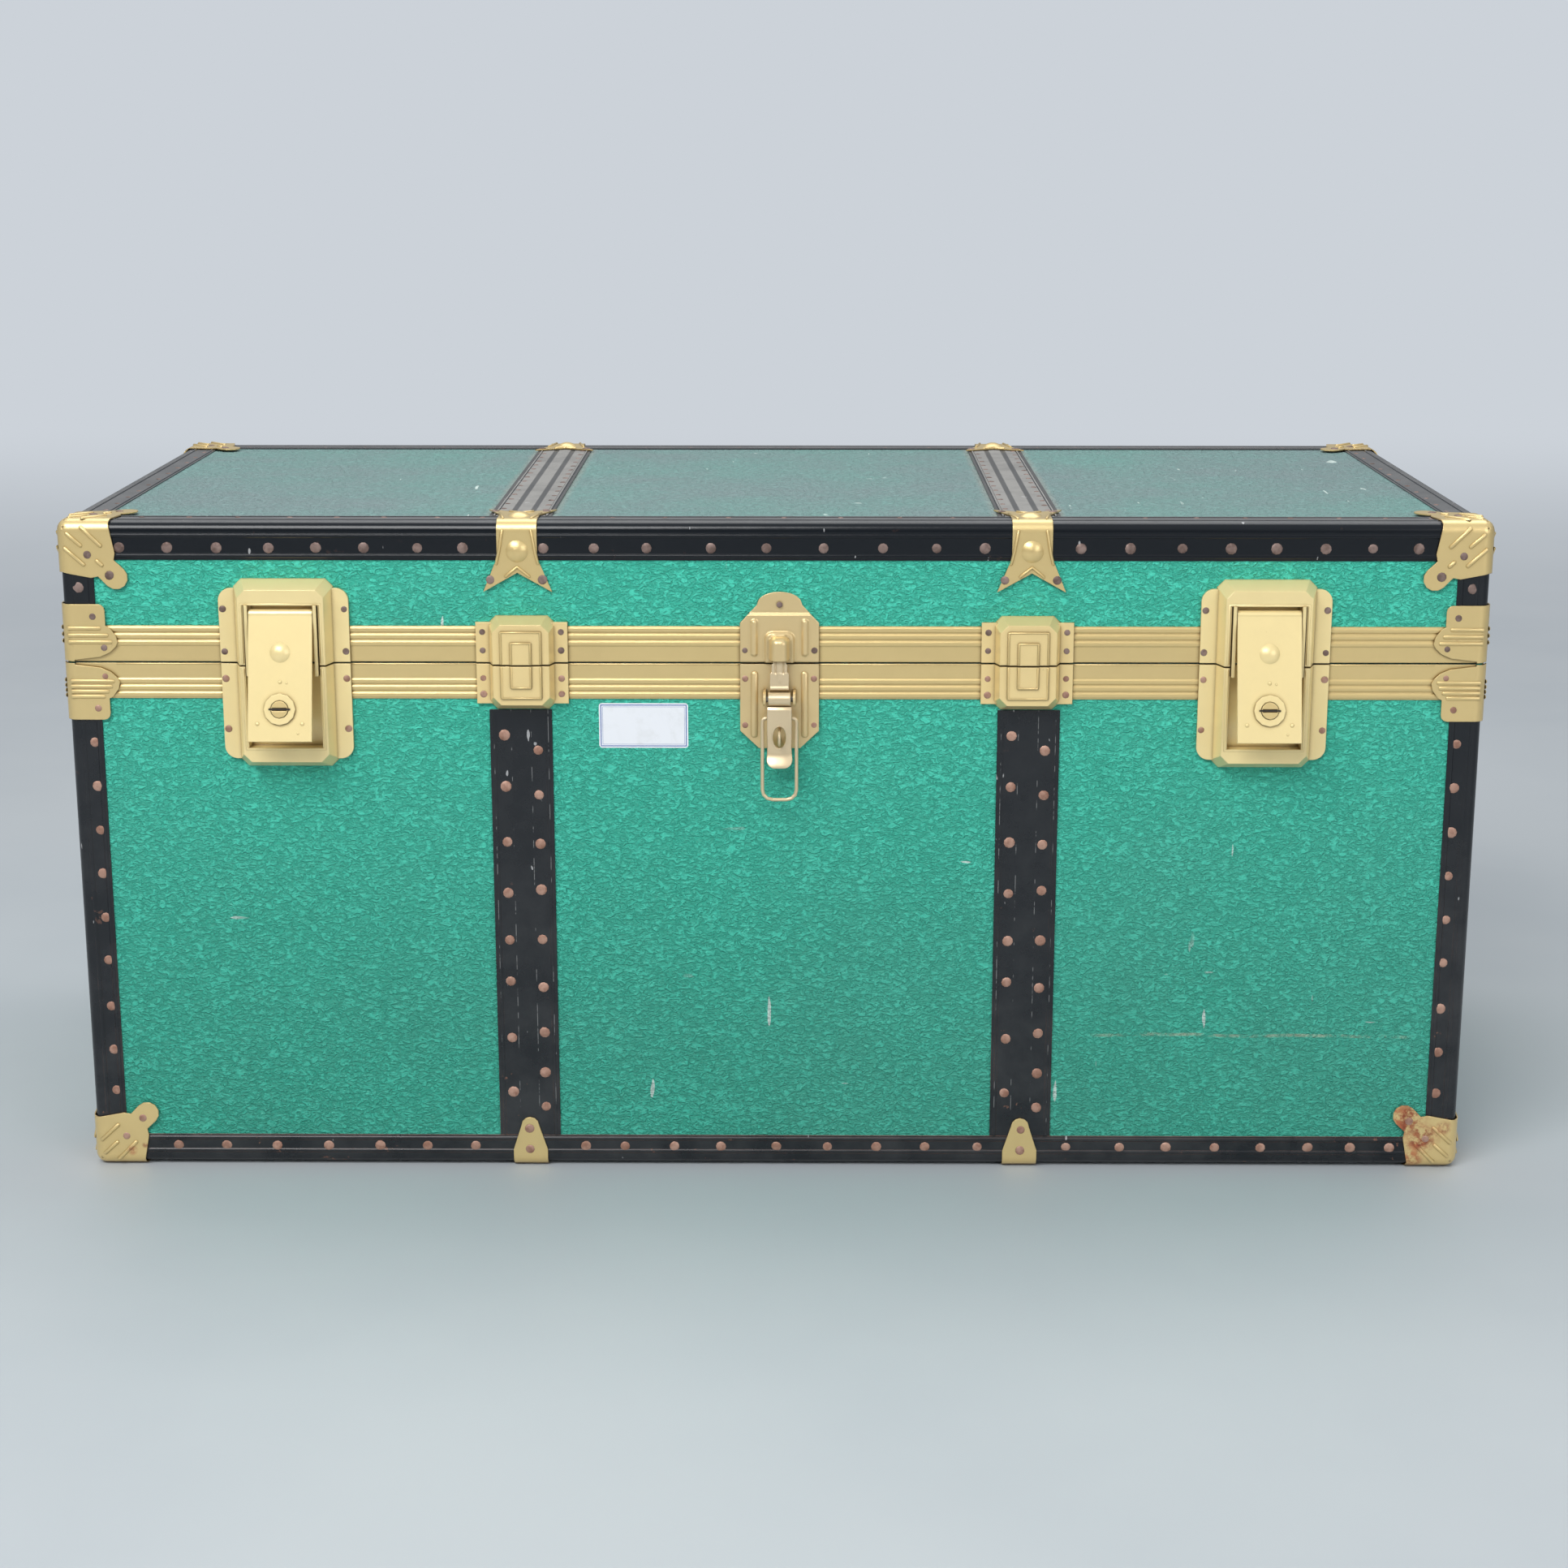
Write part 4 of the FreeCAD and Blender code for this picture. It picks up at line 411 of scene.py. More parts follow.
materials = {
    "green_fibre": greenFibre(),
    "black_enamel": blackEnamel(),
    "brass": goldLacquer(),
    "foot_caps": goldLacquer("foot_caps", 0.5, footRust, rim=0.7),
    "lid_caps": goldLacquer("lid_caps", 0.3, rim=0.65),
    "top_straps": blackEnamel("top_straps", 1.15, bands=True, dustTone=(148, 146, 142)),
    "case_straps": blackEnamel("case_straps", lines=0.35),
    "lid_edges": blackEnamel("lid_edges", sheen=0.4, gloss=0.19, film=0.0),
    "foot_edges": blackEnamel("foot_edges", wear=1.0, rubbing=0.30),
    "lock_gold": goldLacquer("lock_gold", tone=(247, 224, 162), metallic=0.22),
    "dowel_gold": goldLacquer("dowel_gold", tone=(242, 215, 152), metallic=0.28),
    "hasp_gold": goldLacquer("hasp_gold", tone=(230, 203, 148)),
    "lever_bronze": goldLacquer("lever_bronze", tone=(226, 204, 165)),
    "bare_wood": bareWood(),
    "lining_paper": liningPaper(),
    "steel": mottled("steel", 120.0, 5.0, 0.35, ((150, 146, 138), (104, 96, 86)), (0.32, 0.5), 0.85, 0.0004),
    "grip_leather": gripLeather(),
    "slot_shadow": mottled("slot_shadow", 900.0, 3.0, 0.4, ((26, 22, 18), (52, 44, 34)), (0.55, 0.75), 0.0, 0.0002),
    "case_nails": nailMetal("case_nails", (190, 152, 134), (150, 110, 92)),
    "lid_nails": nailMetal("lid_nails", (150, 128, 120), (104, 84, 76)),
}
finishOf = {"lid_edge_bindings": "lid_edges", "case_bottom_bindings": "foot_edges", "case_corners": "foot_caps",
            "dowel_plugs": "dowel_gold", "dowel_sockets": "dowel_gold", "lid_corners": "lid_caps",
            "lid_straps": "top_straps", "case_straps": "case_straps", "hasp_case_plate": "hasp_gold",
            "hasp_bail": "lever_bronze", "hasp_staple": "lever_bronze"}
for side in ("left", "right"):
    for part in ("lid_plate", "case_plate", "flap", "case"):
        finishOf[side + "_lock_" + part] = "lock_gold"
for name, node in nodes.items():
    for slot in node.material_slots:
        slot.link = "OBJECT"
        slot.material = materials[finishOf.get(name, node.data.materials[0].name)]
print("materials ready:", len(materials))


# Nails and rivets. Each head is one point with the way it faces and its size, and Geometry Nodes puts the heads on.
nailLook = {"radius": 0.0038, "small": 0.0022, "height": 0.21, "sizeSpread": 0.10, "tilt": 0.09, "sides": 10}


# A round boss on a face: rings of points, each so far out and so high, from its foot up to a point.
def addRound(work, spot, facing, profile, height, sides, across=None):
    facing = Vector(facing)
    side = across or facing.orthogonal().normalized()
    other = facing.cross(side)
    turns = [2 * math.pi * k / sides for k in range(sides)]
    rings = [[work.verts.new(Vector(spot) + side * (out * math.cos(a)) + other * (out * math.sin(a)) + facing * up)
              for a in turns] for out, up in profile]
    top = work.verts.new(Vector(spot) + facing * height)
    for k in range(sides):
        after = (k + 1) % sides
        for near, far in zip(rings, rings[1:]):
            work.faces.new((near[k], near[after], far[after], far[k]))
        work.faces.new((rings[-1][k], rings[-1][after], top))


def addObject(name, data):
    made = bpy.data.objects.new(name, data)
    bpy.context.scene.collection.objects.link(made)
    return made


# Turns the working mesh into an object in the scene.
def makeObject(name, work, smooth=True):
    mesh = bpy.data.meshes.new(name)
    work.to_mesh(mesh)
    work.free()
    for face in mesh.polygons:
        face.use_smooth = smooth
    return addObject(name, mesh)


def nailHead():
    profile = ((1.0, 0.0), (0.94, 0.30), (0.74, 0.68), (0.42, 0.93))
    work = bmesh.new()
    addRound(work, (0, 0, 0), (0, 0, 1), profile, 1.0, nailLook["sides"], Vector((1, 0, 0)))
    return makeObject("nail_head", work)


def headTree(head):
    group = bpy.data.node_groups.new("nail_rows", "GeometryNodeTree")
    inlet = {}
    for label, kind in (("Points", "Geometry"), ("Seed", "Int"), ("Size Spread", "Float"), ("Height", "Float"),
                        ("Tilt", "Float"), ("Metal", "Material")):
        inlet[label] = group.interface.new_socket(label, in_out="INPUT", socket_type="NodeSocket" + kind).identifier
    group.interface.new_socket("Heads", in_out="OUTPUT", socket_type="NodeSocketGeometry")
    t = Tree(group)
    given = t.add("NodeGroupInput").outputs
    facing, size = [t.add("GeometryNodeInputNamedAttribute", {"data_type": kind}, Name=name).outputs["Attribute"]
                    for name, kind in (("facing", "FLOAT_VECTOR"), ("size", "FLOAT"))]
    align = t.add("FunctionNodeAlignRotationToVector", {"axis": "Z"}, Vector=facing).outputs[0]
    # Each head leans by up to the tilt, turns by any angle and differs a little in size.
    upper = t.add("CombineXYZ", X=given["Tilt"], Y=given["Tilt"], Z=math.pi).outputs[0]
    lower = t.add("VectorMath", {"operation": "MULTIPLY"}, (upper, (-1, -1, -1))).outputs[0]
    lean = t.add("FunctionNodeRandomValue", {"data_type": "FLOAT_VECTOR"}, (lower, upper), Seed=given["Seed"])
    euler = t.add("FunctionNodeEulerToRotation", None, (lean.outputs[0],)).outputs[0]
    turn = t.add("FunctionNodeRotateRotation", {"rotation_space": "LOCAL"}, Rotation=align, Rotate_By=euler)
    least, largest = [t.math(way, 1.0, given["Size Spread"]) for way in ("SUBTRACT", "ADD")]
    grow = t.add("FunctionNodeRandomValue", {"data_type": "FLOAT"}, {2: least, 3: largest}, Seed=given["Seed"])
    across = t.times(size, grow.outputs[1])
    scale = t.add("CombineXYZ", X=across, Y=across, Z=t.times(across, given["Height"])).outputs[0]
    shape = t.add("GeometryNodeObjectInfo", Object=head).outputs["Geometry"]
    put = t.add("GeometryNodeInstanceOnPoints", Points=given["Points"], Instance=shape, Rotation=turn.outputs[0],
                Scale=scale)
    real = t.add("GeometryNodeRealizeInstances", None, (put.outputs[0],))
    metal = t.add("GeometryNodeSetMaterial", Geometry=real.outputs[0], Material=given["Metal"])
    t.add("NodeGroupOutput", None, (metal.outputs[0],))
    return group, inlet


# Even places from first to last, about one gap apart.
def evenly(first, last, gap):
    count = max(1, round(abs(last - first) / gap))
    return [first + (last - first) * k / count for k in range(count + 1)]


# Rows along the front come from the photograph, in millimetres; the other sides repeat their spacing.
frontRows = {
    "lidEdge": (-456, -422.6, -388.4, -352, -319.1, -285.8, -248.4, -217, -160.7, -125.6, -89.1, -44.4, -5.6, 34.3,
                75.4, 112.5, 146.3, 212.8, 247.3, 283.1, 317, 348.6, 382.6, 415.1, 447.1),
    "bottom": (-437.8, -402.4, -365.4, -327.3, -289.5, -254.9, -219.4, -138.4, -109.8, -73.5, -39.5, 0.9, 38.4, 74.1,
               109.7, 148.1, 213, 252.3, 286.1, 321.9, 355.3, 390, 421, 449.6),
    "posts": (319, 287, 254.5, 222.6, 189.7, 157.6, 122.8, 89.5, 58.2),
    "strapOuter": (324.7, 287.4, 246.6, 208.7, 173.4, 142.2, 99.2, 57.7),
    "strapInner": (313.9, 281.3, 245.1, 211.1, 173.8, 137.9, 103.3, 72.7, 46.4),
}
rows = {name: [value / 1000 for value in row] for name, row in frontRows.items()}
sides = {"front": (frontFace, (0, -1, 0)), "back": (backFace, (0, 1, 0)), "left": (leftFace, (-1, 0, 0)),
         "right": (rightFace, (1, 0, 0))}


# One head on a side: its place along that side, its height, how far the sheet under it stands out, and its radius.
def headOn(side, place, height, out, radius):
    level, facing = sides[side]
    face = level + sum(facing) * out
    return (place, face, height) if facing[1] else (face, place, height), facing, radius


# Nails in the bindings on two opposite sides in turn: a place and a height for each side.
def opposite(pair, places, heights):
    return [headOn(side, place, height, bindingOut, nailLook["radius"])
            for both in places for side, place, height in zip(pair, both, heights)]


# A row at one height round all four sides.
def ring(z, xs, ys):
    return (opposite(("front", "back"), [(x, -x) for x in xs], (z, z))
            + opposite(("left", "right"), [(middle + y, middle - y) for y in ys], (z, z)))


# Nails up the corner posts, so far from the middle and from the edge; back, left and right sit a little off.
def postNails(z, x, inset, back=0.0, left=0.0, right=0.0):
    return (opposite(("front", "back"), ((-x, -x), (x, x)), (z, z + back))
            + opposite(("left", "right"), [(y, y) for y in (frontFace + inset, backFace - inset)],
                       (z + left, z + right)))


def caseNails():
    big = nailLook["radius"]
    found = ring(0.0155, rows["bottom"], evenly(-0.170, 0.170, 0.036))
    for z in rows["posts"]:
        found += postNails(z, 0.481, 0.0155, back=0.004, left=-0.006, right=0.003)
    for side in (-1, 1):
        for row, across in (("strapOuter", 0.0118), ("strapInner", -0.0118)):
            for z in rows[row]:
                found.append(headOn("front", side * strapX - across, z, strapOut, big))
                found.append(headOn("back", side * strapX - across, z + 0.005, strapOut, big))
            for y in evenly(-0.17, 0.17, 0.040):
                found.append(((side * strapX + across, middle + y, capOut - strapOut), (0, 0, -1), big))
    return found


def lidNails():
    small, up = nailLook["small"], (0, 0, 1)
    found = ring(0.458, rows["lidEdge"], evenly(-0.170, 0.170, 0.035))
    found += postNails(0.430, 0.486, 0.0115)
    level = topFace + bindingOut
    for x in rows["lidEdge"]:
        if abs(abs(x) - 0.18) > 0.035:  # none under the straps
            found.append(((x + 0.012, frontFace + 0.0200, level), up, small))
            found.append(((-x, backFace - 0.0200, level), up, small))
    for y in evenly(-0.165, 0.165, 0.033):
        found.append(((leftFace + 0.0200, middle + y, level), up, small))
        found.append(((rightFace - 0.0200, middle - y, level), up, small))
    for side in (-1, 1):
        for across in (0.0150, -0.0150):
            for y in evenly(-0.172, 0.166, 0.024):
                spot = (side * strapX + across, middle + y + across * 0.6, topFace + strapOut)
                found.append((spot, up, small))
    return found


def placeHeads(name, body, points, metal, seed):
    mesh = bpy.data.meshes.new(name)
    mesh.from_pydata([p[0] for p in points], [], [])
    facings, sizes = [v for p in points for v in p[1]], [p[2] for p in points]
    mesh.attributes.new("facing", "FLOAT_VECTOR", "POINT").data.foreach_set("vector", facings)
    mesh.attributes.new("size", "FLOAT", "POINT").data.foreach_set("value", sizes)
    heads = addObject(name, mesh)
    modifier = heads.modifiers.new("heads", "NODES")
    modifier.node_group = nailTree
    for label, value in (("Seed", seed), ("Size Spread", nailLook["sizeSpread"]), ("Height", nailLook["height"]),
                         ("Tilt", nailLook["tilt"]), ("Metal", materials[metal])):
        modifier[nailInlet[label]] = value
    bpy.context.view_layer.update()
    made = bpy.data.meshes.new_from_object(heads.evaluated_get(bpy.context.evaluated_depsgraph_get()))
    heads.modifiers.clear()
    heads.data = made
    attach(heads, body)
    print(name, len(points), "heads")


# Pressed beads: rounded ridges that run over the plates and die away at both ends. Each is so wide and so high.
beadLook = {"cap": (0.0030, 0.0014), "rail": (0.0032, 0.0010), "clamp": (0.0021, 0.0013), "lip": (0.0013, 0.0005),
            "dowel": (0.0018, 0.0009), "rib": (0.0054, 0.0018), "rim": (0.0024, 0.0008), "border": (0.0026, 0.0007),
            "sunk": 0.0002, "parts": 6}


def addBead(work, path, facing, kind):
    width, height = beadLook[kind]
    parts = beadLook["parts"]
    spots = [Vector(p) for p in path]
    facing = Vector(facing)
    stations = []  # where each section lies, the bead's direction there, and its share of the full size
    for k, spot in enumerate(spots):
        before = (spot - spots[k - 1]).normalized() if k else None
        after = (spots[k + 1] - spot).normalized() if k + 1 < len(spots) else None
        along = ((before or after) + (after or before)).normalized()
        if before and after:
            stations.append((spot, along, 1.0))
            continue
        shares = (0.66, 0.3, 0.04) if before else (0.04, 0.3, 0.66)
        inward = -along if before else along
        stations += [(spot + inward * width / 2 * share, along, math.sqrt(1 - (1 - share) ** 2)) for share in shares]
    rings = []
    for spot, along, share in stations:
        side = along.cross(facing)
        ring = []
        for k in range(parts + 1):
            angle = math.pi * k / parts
            lift = facing * (math.sin(angle) * height * share - beadLook["sunk"])
            ring.append(work.verts.new(spot + side * (math.cos(angle) * width / 2 * share) + lift))
        rings.append(ring)
    for near, far in zip(rings, rings[1:]):
        for k in range(parts):
            work.faces.new((near[k], far[k], far[k + 1], near[k + 1]))


# A small pip, and a smooth dome that is part of a ball.
def addPip(work, spot, facing, radius, height):
    profile = [(out * radius, up * height) for out, up in ((1.0, -0.15), (0.92, 0.35), (0.66, 0.75), (0.3, 0.96))]
    addRound(work, spot, facing, profile, height, 14)


def addDome(work, spot, facing, radius, height):
    ball = (radius ** 2 + height ** 2) / (2 * height)
    angles = [math.asin(radius / ball) * (1 - level / 7) for level in range(7)]
    profile = [(ball * math.sin(a), ball * math.cos(a) - (ball - height)) for a in angles]
    addRound(work, spot, facing, profile, height, 28)


def finishPiece(name, work, body, material, smooth=True):
    piece = makeObject(name, work, smooth)
    piece.data.materials.append(materials[material])
    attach(piece, body)
    print(name, len(piece.data.polygons), "faces")
    return piece


# Leaves of folded sheet where the front and the back meet the ends or the top: where each starts, the directions
# along its edge and away from it, and the way it faces.
def leavesAt(xs, shapes):
    found = []
    for x in xs:
        for sy, face in ((-1, frontFace - capOut), (1, backFace + capOut)):
            found += [[Vector(v) for v in leaf] for leaf in shapes(x, math.copysign(1, x), face, sy)]
    return found


def cornerLeaves(level, up):
    return leavesAt((-chestHigh.x, chestHigh.x), lambda x, sx, y, sy: (
        ((x, y, level), (-sx, 0, 0), (0, 0, up), (0, sy, 0)),
        (((rightFace + capOut) * sx, y, level), (0, -sy, 0), (0, 0, up), (sx, 0, 0))))


def topLeaves():
    return leavesAt((-chestHigh.x, chestHigh.x), lambda x, sx, y, sy: (
        ((x, y, topFace + capOut), (-sx, 0, 0), (0, -sy, 0), (0, 0, 1)),))


# The clamps on the lid's long edges: one leaf on the front or back, one on the top.
def clampLeaves():
    return leavesAt((-strapX, strapX), lambda x, sx, y, sy: (
        ((x, y, topFace), (1, 0, 0), (0, 0, -1), (0, sy, 0)),
        ((x, y - sy * capOut, topFace + capOut), (1, 0, 0), (0, -sy, 0), (0, 0, 1))))


# Beads and rivets on the leaves, in millimetres: along the leaf, away from its edge, and a rivet's radius last.
# The rail's beads run on over the corner plates, so those heights are above the floor.
capBeads = (((17.6, 4.6), (32.4, 19.4)), ((7.4, 9.0), (18.6, 19.2)), ((5.6, 19.4), (20.0, 32.6)),
            ((27.6, 28.2), (32.6, 33.0)))
capRivets = ((21.8, 24.8, 3.0), (36.8, 39.4, 3.3))
footRivets = ((24.7, 23.2, 3.0), (37.4, 37.0, 3.2))
clampBeads = (((-9.8, 4.0), (-12.4, 18.8), (-14.8, 29.0)), ((9.8, 4.0), (12.4, 18.8), (14.8, 29.0)),
              ((-8.9, 37.6), (0.0, 30.4), (8.9, 37.6)))
clampRivets = ((-18.8, 39.4, 3.2), (17.6, 39.4, 3.2))
lidPlateBeads = [((4.5, z), (reach, z)) for reach, z in ((28.5, 401.2), (33.5, 396.2), (36.0, 391.4))]
casePlateBeads = [((4.5, z), (reach, z)) for reach, z in ((36.0, 363.4), (34.5, 359.6), (32.0, 356.0), (29.0, 352.4))]
lidPlateRivets = ((23.1, 409.6, 2.3), (29.8, 387.5, 2.3))
casePlateRivets = ((29.4, 366.9, 2.3), (23.2, 344.0, 2.3))


def pressLeaves(work, rivets, leaves, kind, beads, heads):
    for origin, along, away, facing in leaves:
        for bead in beads:
            addBead(work, [origin + along * (a / 1000) + away * (b / 1000) for a, b in bead], facing, kind)
        for a, b, radius in heads:
            rivets.append((origin + along * (a / 1000) + away * (b / 1000), facing, radius / 1000))


# Rivets in the flanges of a lock and a dowel clamp, at these heights.
def flangeRivets(side, lockHeights, dowelHeights):
    found = []
    for x, reach, heights, radius in ((lockX, 0.0425, lockHeights, 0.0025), (dowelX, 0.0275, dowelHeights, 0.0024)):
        for across in (-reach, reach):
            found += [headOn("front", side * x + across, z, plateOut, radius) for z in heights]
    return found


# Smooth domes over the clamps' pressed bosses, a little larger than the bosses they cover.
domeLook = {"radius": 0.0079, "height": 0.0029, "inset": 0.0195, "sunk": 0.0001}


def clampDomes(work):
    out = capOut - domeLook["sunk"]
    for x in (-strapX, strapX):
        for sy, face in ((-1, frontFace), (1, backFace)):
            for spot, facing in (((x, face + sy * out, topFace - domeLook["inset"]), (0, sy, 0)),
                                 ((x, face - sy * domeLook["inset"], topFace + out), (0, 0, 1))):
                addDome(work, spot, facing, domeLook["radius"], domeLook["height"])


# The case rail's upper edge is rolled over: a thin bright lip between the fittings, all round.
lipLook = {"height": 0.3757, "out": 0.0008, "reach": 0.0375}


def railLips(work):
    z, out, reach = lipLook["height"], lipLook["out"], lipLook["reach"]
    near, far = chestLow.x + reach, chestHigh.x - reach
    front = ((near, -0.3890), (-0.2970, -0.2100), (-0.1440, -0.0245), (0.0315, 0.1440), (0.2100, 0.2970),
             (0.3890, far))
    back = ((near, -0.3305), (-0.2695, 0.2695), (0.3305, far))
    for spans, y, facing in ((front, frontFace - out, -1), (back, backFace + out, 1)):
        for span in spans:
            addBead(work, [(x, y, z) for x in span], (0, facing, 0), "lip")
    for side, x in ((-1, leftFace - out), (1, rightFace + out)):
        addBead(work, [(x, y, z) for y in (chestLow.y + reach, chestHigh.y - reach)], (side, 0, 0), "lip")


# Two nested ridges on each half of a dowel clamp, open towards the seam: half width, reach and how far out.
dowelRidgeSizes = ((0.0137, 0.0226, 0.0126), (0.0066, 0.0150, 0.0135))


def dowelRidges(work, seam, up):
    for side in (-1, 1):
        for half, reach, out in dowelRidgeSizes:
            left, right, end = side * dowelX - half, side * dowelX + half, seam + up * reach
            path = [(x, frontFace - out, z) for x, z in ((left, seam), (left, end), (right, end), (right, seam))]
            addBead(work, path, (0, -1, 0), "dowel")


def lidPressings():
    work, rivets = bmesh.new(), []
    pressLeaves(work, rivets, cornerLeaves(topFace + capOut, -1) + topLeaves(), "cap", capBeads, capRivets)
    pressLeaves(work, rivets, cornerLeaves(0.0, 1), "rail", lidPlateBeads, lidPlateRivets)
    pressLeaves(work, rivets, clampLeaves(), "clamp", clampBeads, clampRivets)
    clampDomes(work)
    dowelRidges(work, 0.3778, 1)
    for side in (-1, 1):
        rivets += flangeRivets(side, (0.415, 0.385), (0.399, 0.386))
    finishPiece("lid_pressed_beads", work, "lid", "brass")
    return rivets


def casePressings():
    work, rivets = bmesh.new(), []
    pressLeaves(work, rivets, cornerLeaves(0.0, 1), "cap", capBeads[:3], footRivets)
    pressLeaves(work, rivets, cornerLeaves(0.0, 1), "rail", casePlateBeads, casePlateRivets)
    railLips(work)
    dowelRidges(work, 0.3762, -1)
    for side in (-1, 1):
        rivets += flangeRivets(side, (0.3656, 0.3294), (0.366, 0.3546))
        for face in ("front", "back"):
            rivets += [headOn(face, side * 0.1795, z, capOut, 0.0034) for z in (0.0295, 0.0136)]
    finishPiece("case_pressed_beads", work, "case", "foot_caps")
    return rivets


# The draw hasp's pressed ribs and its rivets.
def haspDetail():
    work = bmesh.new()
    face = frontFace - plateOut
    lidRivets, caseRivets = [], []
    for side in (-1, 1):
        x = haspX + side * 0.0178
        addBead(work, [(x - side * 0.0003, face, 0.3715), (x, face, 0.3235)], (0, -1, 0), "rib")
        lidRivets.append(headOn("front", haspX + side * 0.0243, 0.3862, plateOut, 0.0022))
        caseRivets += [headOn("front", haspX + side * 0.0242, z, plateOut, 0.0022) for z in (0.3660, 0.3327)]
    lidRivets.append(headOn("front", haspX, 0.4186, plateOut, 0.0022))
    finishPiece("hasp_case_ribs", work, "case", "hasp_gold")
    return lidRivets, caseRivets


# Hinge leaves and handle plates: half the size of the pressed border on each, and where its rivets are.
leafLook = {"x": 0.300, "out": 0.0032, "border": (0.0264, 0.0229), "middles": (0.3435, 0.4105),
            "rivets": ((0.0185, -0.0185), (-0.0160, 0.0, 0.0160))}
plateLook = {"ys": (-0.089, 0.111), "z": 0.240, "out": 0.0014, "border": (0.0226, 0.0186),
             "rivets": ((-0.0190, 0.0190), (-0.0150, 0.0150))}


def borderedPlate(look, work, heads, origin, along, facing):
    def at(across, up):
        return Vector(origin) + Vector(along) * across + Vector((0, 0, up))

    half, rise = look["border"]
    turns = ((-half, -rise), (half, -rise), (half, rise), (-half, rise), (-half, -rise))
    addBead(work, [at(*turn) for turn in turns], facing, "border")
    for across in look["rivets"][0]:
        heads += [(at(across, up), facing, 0.0027) for up in look["rivets"][1]]


def hardwareDetail():
    works, heads = (bmesh.new(), bmesh.new()), ([], [])  # the case's, then the lid's
    for side, face in ((-1, leftFace), (1, rightFace)):
        for work, points, z in zip(works, heads, leafLook["middles"]):
            origin = (side * leafLook["x"], backFace + leafLook["out"], z)
            borderedPlate(leafLook, work, points, origin, (-1, 0, 0), (0, 1, 0))
        for y in plateLook["ys"]:
            origin = (face + side * plateLook["out"], y, plateLook["z"])
            borderedPlate(plateLook, works[0], heads[0], origin, (0, side, 0), (side, 0, 0))
    finishPiece("case_plate_borders", works[0], "case", "brass")
    finishPiece("hinge_leaf_borders", works[1], "lid", "brass")
    return heads[1], heads[0]


# A thin flat piece between two matching rings of points.
def slab(name, body, slot, material, face, back):
    work = bmesh.new()
    face, back = [[work.verts.new(p) for p in points] for points in (face, back)]
    work.faces.new(face)
    work.faces.new(list(reversed(back)))
    for k in range(len(face)):
        after = (k + 1) % len(face)
        work.faces.new((face[k], back[k], back[after], face[after]))
    bmesh.ops.recalc_face_normals(work, faces=work.faces)
    finishPiece(name, work, body, material, smooth=False)


# The lock flaps hang a little open: where they turn, by how many degrees, and how far out their face lies.
flapLook = {"y": frontFace - 0.0128, "z": 0.4135, "open": 14.0, "out": 0.0031}
flapTurn = math.radians(flapLook["open"])
flapFacing = Vector((0, -math.cos(flapTurn), math.sin(flapTurn)))
flapDown = Vector((0, -math.sin(flapTurn), -math.cos(flapTurn)))


def flapPoint(side, across, down):
    pivot = Vector((side * lockX + across, flapLook["y"], flapLook["z"]))
    return pivot + flapFacing * flapLook["out"] + flapDown * down


# The key slots' shadows: a dark bar of painted shade across the face of each plug, a little longer than the plug is
# wide.
slotLook = {"y": -0.2425, "z": 0.3503, "out": 0.00015, "half": 0.0070, "round": 0.0005, "high": 0.00055,
            "thick": 0.0006, "sides": 16}


def keySlotShadows():
    for side, name in ((-1, "left"), (1, "right")):
        centre = Vector((side * lockX, slotLook["y"], slotLook["z"])) + flapFacing * slotLook["out"]
        rings = []
        for sink in (0.0, slotLook["thick"]):
            ring = []
            for k in range(slotLook["sides"]):
                angle = 2 * math.pi * k / slotLook["sides"]
                end = slotLook["half"] if math.cos(angle) > 0 else -slotLook["half"]
                across = Vector((end + math.cos(angle) * slotLook["round"], 0, 0))
                ring.append(centre - flapFacing * sink + across + flapDown * (math.sin(angle) * slotLook["high"]))
            rings.append(ring)
        slab(name + "_key_slot", name + "_plug", "steel", "slot_shadow", *rings)


# Pips pressed into the flaps as (across, down, radius), their dome, and the raised rim round each lock's recess.
flapPips = ((0.0, 0.0475, 0.0013), (0.0046, 0.0482, 0.0008), (-0.0156, 0.0765, 0.0014), (0.0156, 0.0765, 0.0014),
            (0.0126, 0.0832, 0.0008))
rimLook = {"out": 0.0147, "half": 0.0275, "lid": (0.3785, 0.4205), "case": (0.3755, 0.3175)}


def flapDetail():
    for side, name in ((-1, "left"), (1, "right")):
        work = bmesh.new()
        for across, down, radius in flapPips:
            addPip(work, flapPoint(side, across, down), flapFacing, radius, radius * 0.6)
        addDome(work, flapPoint(side, 0.0, 0.0270), flapFacing, 0.0071, 0.0026)
        finishPiece(name + "_flap_pips", work, name + "_flap", "lock_gold")
        left, right = side * lockX - rimLook["half"], side * lockX + rimLook["half"]
        for body in ("lid", "case"):
            rim = bmesh.new()
            near, far = rimLook[body]
            turns = ((left, near), (left, far), (right, far), (right, near))
            addBead(rim, [(x, frontFace - rimLook["out"], z) for x, z in turns], (0, -1, 0), "rim")
            finishPiece(name + "_lock_" + body + "_rim", rim, body, "lock_gold")


# The blank address label, with its ruled border, stuck under the left of the hasp.
labelLook = {"left": -0.124, "right": -0.061, "low": 0.3154, "high": 0.3477, "thick": 0.00012, "round": 0.0022,
             "paper": (232, 234, 238), "aged": (205, 206, 204), "ink": (84, 112, 172)}


